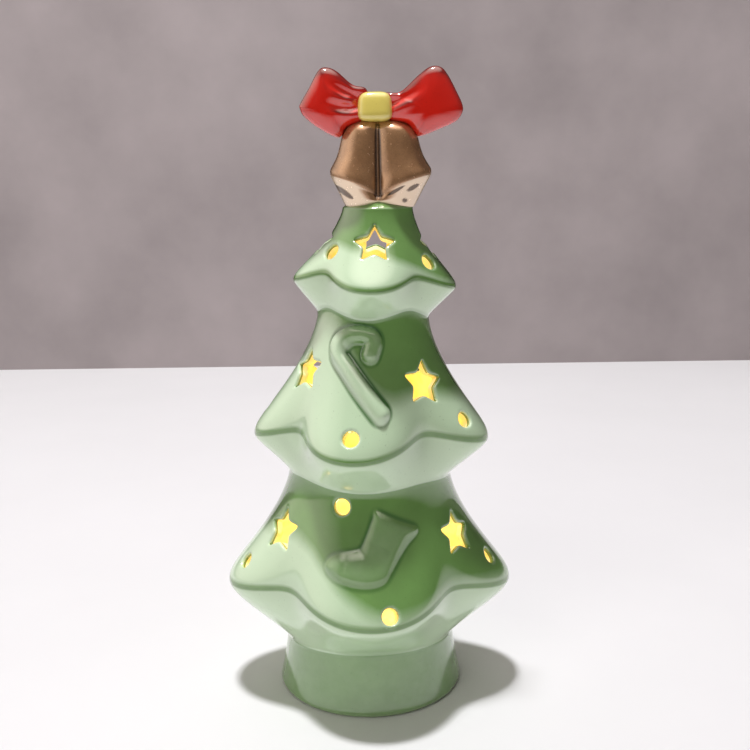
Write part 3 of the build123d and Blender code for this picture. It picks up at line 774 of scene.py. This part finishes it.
def tree_shell():
    """The whole ceramic tree: hollow, foot and outside as one closed skin with every cut-out."""
    outside, outer_places = outer_table()
    outside, lifts = raise_reliefs(fill_creases(outside, outer_places), outer_places)
    hollow, inner_places = inner_table()
    foot = foot_table()
    sheen_and_thin = sheen_and_thin_table(outer_places, lifts)
    bare = np.zeros(hollow.shape[:2])
    shell = Shell()
    first_hollow = shell.add_points(hollow.reshape(-1, 3))
    first_foot = shell.add_points(foot.reshape(-1, 3))
    first_outside = shell.add_points(outside.reshape(-1, 3), sheen_and_thin.ravel())
    holes = all_holes()
    starts = hole_starts(holes, inner_places, -1)
    inner_rims = cut_table(shell, hollow, bare, first_hollow, holes, starts, False, LIT)
    starts = hole_starts(holes, outer_places, 1)
    outer_rims = cut_table(shell, outside, sheen_and_thin, first_outside, holes, starts, True, GLAZED)
    shell.add_faces(band(first_foot - COLUMNS, first_foot, COLUMNS), LIT)
    for row in range(len(foot) - 1):
        low = first_foot + row * COLUMNS
        shell.add_faces(band(low, low + COLUMNS, COLUMNS), LIT if row < LIT_FOOT_ROWS else BARE)
    shell.add_faces(band(first_outside - COLUMNS, first_outside, COLUMNS), BARE)
    ceiling = shell.add_points([hollow[0].mean(axis=0)])
    tip = shell.add_points([outside[-1].mean(axis=0)])
    shell.add_faces(fan(first_hollow, ceiling, COLUMNS, turned=True), LIT)
    shell.add_faces(fan(first_outside + (len(outside) - 1) * COLUMNS, tip, COLUMNS), GLAZED)
    hole_walls(shell, outer_rims, inner_rims)
    return np.concatenate(shell.points), shell.faces, shell.slots, np.concatenate(shell.sheen_and_thin)


def closed_tube(rings):
    """Points and faces of a tube of rings with a fan over each end."""
    count, columns = rings.shape[:2]
    points = np.concatenate([rings.reshape(-1, 3), rings[:1].mean(axis=1), rings[-1:].mean(axis=1)])
    faces = []
    for row in range(count - 1):
        faces += band(row * columns, (row + 1) * columns, columns)
    faces += fan(0, len(points) - 2, columns, turned=True)
    faces += fan((count - 1) * columns, len(points) - 1, columns)
    return points, faces


def bells():
    """The two bells grown together, a tube whose section is two circles, and how strongly each point lies in
    a dark stroke.
    """
    turns = 2 * math.pi * np.arange(BELL_COLUMNS) / BELL_COLUMNS
    out = np.sqrt(np.sin(turns) ** 2 + GROOVE_SOFT ** 2) / math.hypot(1, GROOVE_SOFT)
    rings = []
    for height, half_width, radius, drop in smooth_line(BELL_ROWS, BELL_STEPS):
        spread = max(half_width - radius, 0.0)
        reach = spread * out + np.sqrt(np.maximum(radius ** 2 - (spread * np.cos(turns)) ** 2, 0.0))
        reach += GROOVE_RIB * spread / BELL_X * np.exp(-(np.sin(turns) / GROOVE_RIB_WIDTH) ** 2)
        side = BELL_X + reach * np.sin(turns) * (1 + BELL_SKEW * np.sin(turns))
        rings.append(np.stack([side, -BELL_DEPTH * reach * np.cos(turns), height - drop * (1 - out)], axis=1))
    points, faces = closed_tube(np.array(rings))
    marks = []
    for start, end, half_width in BELL_STROKES:
        length = math.dist(start, end)
        around = sum(np.linalg.norm(points[:, [0, 2]] - tip, axis=1) for tip in (start, end))
        excess = (around - length) / (2 * math.hypot(length / 2, half_width) - length)
        marks.append(ease(STROKE_SOFT - excess))
    return points, faces, np.max(marks, axis=0) * ease(-points[:, 1] / STROKE_FADE)


def bow_loop(corners, creases, inner_x):
    """A puffed ribbon loop: it swells to the front and back, is pinched at the knot and has creases."""
    outline = smooth_line(corners, LOOP_STEPS, closed=True)
    ahead = np.roll(outline, -1, axis=0)
    if np.sum(outline[:, 0] * ahead[:, 1] - outline[:, 1] * ahead[:, 0]) < 0:
        outline = outline[::-1]
    middle = outline.mean(axis=0) - (0.0, LOOP_SAG)
    swell = np.linspace(-1, 1, 2 * LOOP_RINGS + 1)[1:-1]
    turns = np.sign(swell) * (1 - (1 - np.abs(swell)) ** LOOP_CROWD) * math.pi / 2
    rings = []
    for turn in turns:
        flat = middle + (outline - middle) * math.cos(turn) ** LOOP_POWER
        away = np.abs(flat[:, 0] - inner_x)
        pinch = LOOP_PINCH + (1 - LOOP_PINCH) * ease(away / LOOP_PINCH_REACH)
        depth = LOOP_DEPTH * pinch * abs(math.sin(turn)) ** LOOP_POWER
        fade = abs(math.sin(turn)) * ease(CREASE_START - away / CREASE_REACH)
        for crease in creases:
            line = smooth_line(crease, LINE_STEPS)
            off = line_distance(flat, line)
            ridge = line_distance(flat, line - (0.0, RIDGE_DROP))
            depth = depth - fade * (CREASE_DEPTH * np.exp(-(off / CREASE_WIDTH) ** 2)
                                    - RIDGE_RISE * np.exp(-(ridge / CREASE_WIDTH) ** 2))
        side = BOW_Y + math.copysign(1, turn) * np.maximum(depth, 0.0)
        rings.append(np.stack([flat[:, 0], side, flat[:, 1]], axis=1))
    return closed_tube(np.array(rings))


def rounded(value):
    """A sine or cosine bent toward the round square of the knot's section."""
    return np.copysign(np.abs(value) ** KNOT_POWER, value)


def bow_knot():
    """The soft band round the middle of the bow, a little wider at its foot."""
    around = 2 * math.pi * np.arange(KNOT_COLUMNS) / KNOT_COLUMNS
    rings = []
    for turn in np.linspace(-math.pi / 2, math.pi / 2, KNOT_RINGS)[1:-1]:
        up = rounded(math.sin(turn))
        reach = math.cos(turn) ** KNOT_POWER
        half_x, half_y = [half * reach * (1 - taper * up) for half, taper in zip(KNOT_HALF, KNOT_TAPER)]
        x = KNOT_MIDDLE[0] + half_x * rounded(np.sin(around))
        y = KNOT_MIDDLE[1] - half_y * rounded(np.cos(around))
        z = np.full(KNOT_COLUMNS, KNOT_MIDDLE[2] + KNOT_HALF[2] * up)
        rings.append(np.stack([x, y, z], axis=1))
    return closed_tube(np.array(rings))


def add_object(name, data):
    """An object of the scene that holds a mesh, lamp or camera."""
    piece = bpy.data.objects.new(name, data)
    bpy.context.scene.collection.objects.link(piece)
    return piece


def new_mesh(name, points, faces, materials, slots=None, marks=None):
    """A smooth-shaded object from millimetre points; marks are values to store at the points, by name."""
    points = np.asarray(points, float)
    used = np.unique(np.concatenate([np.asarray(face) for face in faces]))
    fresh = np.full(len(points), -1)
    fresh[used] = np.arange(len(used))
    mesh = bpy.data.meshes.new(name)
    mesh.from_pydata((points[used] * MM).tolist(), [], [fresh[face].tolist() for face in faces])
    for material in materials:
        mesh.materials.append(material)
    if slots is not None:
        mesh.polygons.foreach_set("material_index", np.asarray(slots, np.int32))
    mesh.polygons.foreach_set("use_smooth", np.ones(len(mesh.polygons), bool))
    mesh.update()
    for mark, values in (marks or {}).items():
        mesh.attributes.new(mark, "FLOAT", "POINT").data.foreach_set("value", values[used])
    return add_object(name, mesh)


def point_values(mesh, key):
    """Three values of each point of a mesh."""
    values = np.empty(len(mesh.vertices) * 3)
    mesh.vertices.foreach_get(key, values)
    return values.reshape(-1, 3)


def mark_edges(piece, blur):
    """Stores how convex (1) or hollow (-1) the surface is at each point, for the glaze's thickness and for
    the painted shade in the bells' hollows.
    """
    mesh = piece.data
    count = len(mesh.vertices)
    points = point_values(mesh, "co") / MM
    normals = point_values(mesh, "normal")
    ends = np.empty(len(mesh.edges) * 2, np.int32)
    mesh.edges.foreach_get("vertices", ends)
    a, b = ends.reshape(-1, 2).T
    gap = points[a] - points[b]
    square = np.maximum((gap ** 2).sum(axis=1), EDGE_LEAST)
    bend = np.zeros(count)
    np.add.at(bend, a, 2 * (gap * normals[a]).sum(axis=1) / square)
    np.add.at(bend, b, -2 * (gap * normals[b]).sum(axis=1) / square)
    neighbours = np.maximum(np.bincount(a, minlength=count) + np.bincount(b, minlength=count), 1)
    bend = np.clip(bend / neighbours, -BEND_MOST, BEND_MOST)
    for _ in range(blur):
        total = np.zeros(count)
        np.add.at(total, a, bend[b])
        np.add.at(total, b, bend[a])
        bend = (1 - BEND_SPREAD) * bend + BEND_SPREAD * total / neighbours
    mesh.attributes.new("edge", "FLOAT", "POINT").data.foreach_set("value", bend)


# Materials
def fill(tree, made, **values):
    """Sets a node's properties and input values, and links the inputs that are given a socket."""
    for key, value in values.items():
        socket = key.replace("_", " ")
        if isinstance(value, bpy.types.NodeSocket):
            tree.links.new(value, made.inputs[socket])
        elif hasattr(made, key):
            setattr(made, key, value)
        else:
            made.inputs[socket].default_value = value
    return made


def node(tree, kind, **values):
    """A fresh node with its properties and inputs filled in."""
    return fill(tree, tree.nodes.new(kind), **values)


def shader(name, roughness, metallic=0.0):
    """A fresh material with its node tree and main shader."""
    material = bpy.data.materials.new(name)
    material.use_nodes = True
    tree = material.node_tree
    main = fill(tree, tree.nodes["Principled BSDF"], Roughness=roughness, Metallic=metallic)
    return material, tree, main


def own_place(tree):
    """The object's own coordinates."""
    place = tree.nodes.get("place") or node(tree, "ShaderNodeTexCoord", name="place")
    return place.outputs["Object"]


def height_part(tree, vector):
    """The upward part of a vector."""
    return node(tree, "ShaderNodeSeparateXYZ", Vector=vector).outputs["Z"]


def facing_up(tree):
    """How far the surface faces up, from -1 to 1."""
    return height_part(tree, node(tree, "ShaderNodeNewGeometry").outputs["Normal"])


def stored(tree, name):
    """A value stored at the mesh's points."""
    return node(tree, "ShaderNodeAttribute", attribute_name=name).outputs["Fac"]


def noise(tree, scale, detail=3.0):
    """Noise in the object's own coordinates; scale is in features per metre."""
    return node(tree, "ShaderNodeTexNoise", Vector=own_place(tree), Scale=scale, Detail=detail,
                Roughness=0.55).outputs["Fac"]


def remap(tree, value, low, high, to_low=0.0, to_high=1.0):
    """A clamped change of range."""
    return node(tree, "ShaderNodeMapRange", Value=value, From_Min=low, From_Max=high,
                To_Min=to_low, To_Max=to_high).outputs["Result"]


def mix(tree, factor, a, b):
    """A colour mixed from two colours or sockets."""
    made = node(tree, "ShaderNodeMix", data_type="RGBA", Factor=factor)
    for number, value in zip(MIX_COLOURS, (a, b)):
        if isinstance(value, tuple):
            made.inputs[number].default_value = (*value, 1.0)
        else:
            tree.links.new(value, made.inputs[number])
    return made.outputs[MIX_RESULT]


def clouds(tree, scale, low, high, a, b, detail=3.0, most=1.0):
    """A colour that goes over to another one in patches of noise."""
    return mix(tree, remap(tree, noise(tree, scale, detail), low, high, 0.0, most), a, b)


def dimmed(colour, share):
    """A darker colour of the same tone."""
    return tuple(share * part for part in colour)


def combine(tree, operation, a, b):
    """Two values joined by a sum, a product or the like."""
    made = node(tree, "ShaderNodeMath", operation=operation)
    tree.links.new(a, made.inputs[0])
    tree.links.new(b, made.inputs[1])
    return made.outputs["Value"]


def uneven(tree, roughness, scale, least=0.7, most=1.4):
    """Roughness that varies in patches."""
    return remap(tree, noise(tree, scale), 0.3, 0.7, roughness * least, roughness * most)


def bump(tree, main, height, strength, distance):
    """Small relief in the surface."""
    made = node(tree, "ShaderNodeBump", Height=height, Strength=strength, Distance=distance)
    fill(tree, main, Normal=made.outputs["Normal"])


def glaze(name, deep, body, pale, sheen_and_thin=None):
    """A glossy glaze: deeper where it pools over ledges, paler where it runs thin over edges; given a pale
    colour, hems and undersides take it as painted reflection, and reliefs as thin glaze.
    """
    roughness = 0.08
    material, tree, main = shader(name, roughness)
    edge = stored(tree, "edge")
    colour = clouds(tree, 70.0, 0.35, 0.68, body, dimmed(body, 0.88), detail=4.0)
    if sheen_and_thin:
        # Painted reflection: hems and undersides go pale by the stored mask, which also holds the thin glaze
        # over the reliefs and the darker line along each lip.
        sheen_and_run_off = stored(tree, "sheen_and_thin")
        ragged = combine(tree, "ADD", sheen_and_run_off, remap(tree, noise(tree, 160.0), 0.3, 0.7, -0.035, 0.035))
        colour = mix(tree, remap(tree, ragged, 0.1, 0.9), colour, sheen_and_thin)
        speckles = remap(tree, noise(tree, 420.0, 4.0), 0.36, 0.64, 0.25, 0.75)
        hem = combine(tree, "MULTIPLY", remap(tree, sheen_and_run_off, -0.2, -1.0), speckles)
        colour = mix(tree, hem, colour, deep)
    flat = remap(tree, facing_up(tree), 0.1, 0.45, 0.25, 1.0)
    ledge = combine(tree, "MULTIPLY", remap(tree, edge, -0.02, -0.2), flat)
    darker_in_hollows = mix(tree, ledge, colour, deep)
    worn = mix(tree, remap(tree, edge, 0.2, 0.8, 0.0, 0.7), darker_in_hollows, pale)
    flecked = clouds(tree, 1500.0, 0.66, 0.8, worn, deep, detail=2.0, most=0.3)
    fill(tree, main, Base_Color=flecked, Roughness=uneven(tree, roughness, 260.0), IOR=1.55,
         Specular_IOR_Level=1.0, Coat_Weight=0.5, Coat_Roughness=0.04)
    bump(tree, main, noise(tree, 210.0, 2.0), 0.04, 0.0004)
    return material


def gold_lustre():
    """Worn gold lustre: bronze bells; faces turned down are cream as painted reflection of the floor, the
    groove and hollows darker as painted shade, and dark strokes lie on the rims.
    """
    roughness = 0.2
    material, tree, main = shader("gold_lustre", roughness, 0.45)
    bronze = clouds(tree, 240.0, 0.35, 0.68, (0.6, 0.32, 0.15), (0.46, 0.23, 0.1), detail=4.0)
    grain = clouds(tree, 2600.0, 0.5, 0.72, bronze, (0.24, 0.12, 0.06), most=0.5)
    # Painted reflection of the white floor: faces turned down are cream.
    painted_floor_reflection = mix(tree, remap(tree, facing_up(tree), -0.12, -0.25), grain, (0.92, 0.7, 0.5))
    # Painted shade: the groove and hollows between the bells are dark brown.
    darker_in_hollows = mix(tree, remap(tree, stored(tree, "edge"), -0.03, -0.25), painted_floor_reflection, (0.1, 0.045, 0.02))
    dark_strokes = mix(tree, stored(tree, "stroke"), darker_in_hollows, (0.12, 0.06, 0.02))
    fill(tree, main, Base_Color=dark_strokes, Roughness=uneven(tree, roughness, 900.0), IOR=1.9,
         Specular_IOR_Level=1.0)
    bump(tree, main, noise(tree, 1300.0, 2.0), 0.05, 0.0002)
    return material


def bisque_inside():
    """Bare clay with a painted glow: warm emitted light stands in for the lamp's light inside, brightest near
    the lamp.
    """
    material, tree, main = shader("bisque_painted_glow", 0.85)
    cream = clouds(tree, 240.0, 0.35, 0.65, (0.9, 0.8, 0.5), (0.82, 0.7, 0.4))
    patch = noise(tree, 130.0, 2.0)
    golden = mix(tree, remap(tree, patch, 0.38, 0.64), (0.9, 0.55, 0.06), (1.0, 0.84, 0.25))
    # Painted light: brighter and whiter on faces turned up.
    painted_glow = mix(tree, remap(tree, facing_up(tree), 0.15, 0.6), golden, (1.0, 0.9, 0.5))
    # Painted light: the glow is stronger low down, near the lamp.
    near_lamp = remap(tree, height_part(tree, own_place(tree)), 0.03, 0.15, 0.42, 0.34)
    level = combine(tree, "MULTIPLY", near_lamp, remap(tree, patch, 0.35, 0.68, 0.6, 1.2))
    fill(tree, main, Base_Color=cream, Emission_Color=painted_glow, Emission_Strength=level)
    bump(tree, main, noise(tree, 700.0), 0.2, 0.0003)
    return material


def bare_foot():
    """The unglazed ring that the tree stands on."""
    material, tree, main = shader("bare_foot", 0.75)
    fill(tree, main, Base_Color=clouds(tree, 300.0, 0.35, 0.65, (0.78, 0.75, 0.69), (0.68, 0.65, 0.58)))
    bump(tree, main, noise(tree, 900.0), 0.3, 0.0003)
    return material


def moulded(name, colour, roughness, grain=2400.0):
    """Moulded plastic or rubber: faint clouds, small scuffs and a fine grain."""
    material, tree, main = shader(name, roughness)
    cloud = clouds(tree, 180.0, 0.3, 0.7, colour, dimmed(colour, 0.95), detail=4.0)
    scuffed = clouds(tree, 900.0, 0.64, 0.78, cloud, dimmed(colour, 0.8), most=0.2)
    fill(tree, main, Base_Color=scuffed, Roughness=uneven(tree, roughness, 500.0, 0.8, 1.2))
    bump(tree, main, noise(tree, grain, 2.0), 0.2, 0.0001)
    return material


def rolled_metal(name, colour, roughness):
    """Rolled or plated metal: duller patches and fine scratches along one direction."""
    material, tree, main = shader(name, roughness, 1.0)
    stretch = node(tree, "ShaderNodeMapping", Vector=own_place(tree), Scale=(400.0, 6000.0, 6000.0))
    scratch = node(tree, "ShaderNodeTexNoise", Vector=stretch.outputs["Vector"], Scale=1.0, Detail=2.0)
    scratch = scratch.outputs["Fac"]
    tone = mix(tree, remap(tree, scratch, 0.35, 0.7), colour, dimmed(colour, 0.78))
    dull = clouds(tree, 300.0, 0.55, 0.75, tone, dimmed(colour, 0.6), detail=4.0, most=0.5)
    fill(tree, main, Base_Color=dull, Roughness=uneven(tree, roughness, 700.0))
    bump(tree, main, scratch, 0.1, 0.00005)
    return material


def lit_plastic(name, colour, shade, strength):
    """Cloudy plastic that glows from a lamp behind or in it."""
    material, tree, main = shader(name, 0.35)
    cloud = clouds(tree, 420.0, 0.3, 0.7, colour, shade)
    fill(tree, main, Base_Color=cloud, Emission_Color=cloud, Emission_Strength=strength)
    bump(tree, main, noise(tree, 1600.0, 2.0), 0.1, 0.0001)
    return material


def circuit_board():
    """Green board: clear paths of copper show through the lacquer."""
    material, tree, main = shader("board_green", 0.3)
    paths = node(tree, "ShaderNodeTexWave", Vector=own_place(tree), Scale=120.0, Distortion=6.0,
                 Detail=0.0, Detail_Scale=60.0).outputs["Fac"]
    copper = mix(tree, remap(tree, paths, 0.8, 0.86), (0.02, 0.16, 0.055), (0.07, 0.3, 0.1))
    fill(tree, main, Base_Color=clouds(tree, 1500.0, 0.6, 0.75, copper, (0.01, 0.09, 0.03), most=0.4))
    bump(tree, main, paths, 0.1, 0.00005)
    return material


def dress(name, points, faces, slot, hidden, materials, slots=None, marks=None, blur=5):
    """Adds a piece of the tree in place of CAD nodes."""
    piece = new_mesh(name, points, faces, materials, slots, marks)
    mark_edges(piece, blur)
    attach(piece, "tree")
    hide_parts(*hidden)


# Pieces of the tree
# The green glaze's last colour is the painted reflection on the hems and undersides, also used for the thin
# glaze over the reliefs.
green = glaze("green_glaze", deep=(0.05, 0.17, 0.035), body=(0.185, 0.365, 0.1), pale=(0.72, 0.87, 0.66),
              sheen_and_thin=(0.63, 0.82, 0.555))
hole_glaze = glaze("hole_glaze", deep=(0.07, 0.18, 0.04), body=(0.14, 0.26, 0.07), pale=(0.2, 0.34, 0.1))
red = glaze("red_glaze", deep=(0.24, 0.004, 0.004), body=(0.9, 0.018, 0.008), pale=(0.92, 0.06, 0.035))
yellow = glaze("yellow_glaze", deep=(0.5, 0.37, 0.04), body=(0.92, 0.76, 0.17), pale=(0.94, 0.84, 0.36))

points, faces, slots, sheen_and_thin = tree_shell()
dress("glazed_tree", points, faces, "green_glaze", ("tree_body", "candy_cane_relief", "stocking_relief"),
      (green, bisque_inside(), bare_foot(), hole_glaze), slots, {"sheen_and_thin": sheen_and_thin})
points, faces, stroke = bells()
dress("gold_bells", points, faces, "gold_lustre", ("left_bell", "right_bell"), (gold_lustre(),),
      marks={"stroke": stroke}, blur=14)
LOOPS = {"left_loop": (LEFT_LOOP, LEFT_CREASES), "right_loop": (RIGHT_LOOP, RIGHT_CREASES)}
for name, lines in LOOPS.items():
    dress(name, *bow_loop(*lines, KNOT_MIDDLE[0]), "red_glaze", ("bow_" + name,), (red,))
dress("yellow_knot", *bow_knot(), "yellow_glaze", ("bow_knot",), (yellow,))

# Finishes of the light unit's pieces
LEDS = tuple(f"led_{number}" for number in (1, 2, 3))
CELLS = tuple(f"button_cell_{number}" for number in (1, 2, 3))
FINISHES = (
    (moulded("white_plastic", (0.86, 0.86, 0.83), 0.42), ("light_housing", "housing_cap", "battery_door")),
    (moulded("clear_rubber", (0.72, 0.73, 0.71), 0.5, 1400.0), ("grip_ring",)),
    (moulded("black_plastic", (0.03, 0.03, 0.032), 0.45), ("switch_body", "switch_slider", "resistor")),
    (moulded("lead_red", (0.6, 0.04, 0.03), 0.4), ("switch_leads",)),
    (lit_plastic("milky_plastic", (1.0, 0.86, 0.5), (1.0, 0.72, 0.3), 0.5), ("diffuser_dome",)),
    (lit_plastic("led_lens", (1.0, 0.86, 0.45), (1.0, 0.74, 0.25), 1.0), LEDS),
    (circuit_board(), ("led_board",)),
    (rolled_metal("contact_metal", (0.75, 0.72, 0.62), 0.25), ("contact_plate", "contact_spring")),
    (rolled_metal("screw_steel", (0.62, 0.62, 0.64), 0.28), ("cap_screws", "door_screw")),
    (rolled_metal("cell_steel", (0.7, 0.7, 0.71), 0.2), CELLS),
)
for material, names in FINISHES:
    for name in names:
        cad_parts[name].data.materials.clear()
        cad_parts[name].data.materials.append(material)

# Camera as in the photograph
CAMERA_PLACE = (2.77, -324.9, 176.0)
CAMERA_PITCH = 12.43
CAMERA_ROLL = -0.75
FOCAL_PIXELS = 1031.0
IMAGE_PIXELS = 750.0
camera_data = bpy.data.cameras.new("camera")
camera_data.sensor_width = 36.0
camera_data.lens = FOCAL_PIXELS / IMAGE_PIXELS * camera_data.sensor_width
camera_data.clip_start = 0.01
camera = add_object("camera", camera_data)
camera.rotation_euler = (math.radians(90 - CAMERA_PITCH), 0, 0)
camera.rotation_euler.rotate_axis("Z", math.radians(CAMERA_ROLL))
camera.location = [MM * v for v in CAMERA_PLACE]
bpy.context.scene.camera = camera

# Stage and light, in metres and watts
STAGE_REACH = 3
WALL_Y = 0.512
FILL_LOW, FILL_HIGH = 0.06, 0.14
FILL_COLOUR = (1.0, 0.92, 0.82, 1.0)
ROOM_LOW, ROOM_HIGH = 0.03, 0.14
ROOM_TOP = 0.75
CEILING_FROM, CEILING_TO = 0.76, 0.95
CEILING_GLOW = 2.2
WINDOW_FROM, WINDOW_TO = 0.55, 0.95
WINDOW_GLOW = 1.2
WINDOW_SIDE = (-0.96, 0.12, 0.25)


def plane(name, corners, colour, share):
    """A flat, matt stage piece with faint clouds of a darker colour."""
    material, tree, main = shader("stage_" + name, 0.6)
    fill(tree, main, Base_Color=clouds(tree, 9.0, 0.3, 0.7, colour, dimmed(colour, share), detail=5.0))
    mesh = bpy.data.meshes.new(name)
    mesh.from_pydata(corners, [], [(0, 1, 2, 3)])
    mesh.materials.append(material)
    piece = add_object(name, mesh)
    return piece


def lamp(name, kind, place, power, colour, **settings):
    """A lamp that the camera doesn't see."""
    data = bpy.data.lights.new(name, kind)
    data.energy = power
    data.color = colour
    for key, value in settings.items():
        setattr(data, key, value)
    piece = add_object(name, data)
    piece.location = place
    piece.visible_camera = False
    return piece


def soft_light(name, place, target, size, power, colour):
    """A square lamp that points at a place."""
    piece = lamp(name, "AREA", place, power, colour, size=size)
    piece.rotation_euler = (Vector(target) - Vector(place)).to_track_quat("-Z", "Y").to_euler()
    return piece


def room_light():
    """Soft fill light; glossy surfaces see a dimmer room with a bright ceiling and a window on the left."""
    world = bpy.data.worlds.new("room")
    world.use_nodes = True
    world.cycles.sampling_method = "NONE"
    tree = world.node_tree
    direction = node(tree, "ShaderNodeTexCoord").outputs["Generated"]
    up = height_part(tree, direction)
    toward_window = node(tree, "ShaderNodeVectorMath", operation="DOT_PRODUCT")
    tree.links.new(direction, toward_window.inputs[0])
    toward_window.inputs[1].default_value = WINDOW_SIDE
    window = remap(tree, toward_window.outputs["Value"], WINDOW_FROM, WINDOW_TO, 0.0, WINDOW_GLOW)
    ceiling = remap(tree, up, CEILING_FROM, CEILING_TO, 0.0, CEILING_GLOW)
    room = remap(tree, up, 0.0, ROOM_TOP, ROOM_LOW, ROOM_HIGH)
    seen = combine(tree, "ADD", room, combine(tree, "MAXIMUM", ceiling, window))
    is_glossy = node(tree, "ShaderNodeLightPath").outputs["Is Glossy Ray"]
    soft = remap(tree, up, 0.0, ROOM_TOP, FILL_LOW, FILL_HIGH)
    level = node(tree, "ShaderNodeMix", Factor=is_glossy, A=soft, B=seen)
    fill(tree, tree.nodes["Background"], Color=FILL_COLOUR, Strength=level.outputs["Result"])
    return world


plane("floor", [(x * STAGE_REACH, y * STAGE_REACH, 0) for x, y in ((-1, -1), (1, -1), (1, 1), (-1, 1))],
      (0.86, 0.85, 0.87), 0.97)
plane("backdrop", [(x * STAGE_REACH, WALL_Y, z * STAGE_REACH) for x, z in ((-1, 0), (1, 0), (1, 1), (-1, 1))],
      (0.47, 0.41, 0.415), 0.72).visible_glossy = False
soft_light("key", (-0.1, 0.03, 1.4), (0.0, 0.0, 0.0), size=0.13, power=16.6, colour=(0.985, 0.985, 1.0))
soft_light("front", (-0.5, -0.8, 0.7), (0.0, 0.0, 0.1), size=0.6, power=2.5,
           colour=(1.0, 0.95, 0.88)).visible_glossy = False
lamp("inner_lamp", "POINT", (0, 0, 0.05), power=0.02, colour=(1.0, 0.72, 0.25), shadow_soft_size=0.006)
bpy.context.scene.world = room_light()
bpy.context.scene.view_settings.view_transform = "Standard"
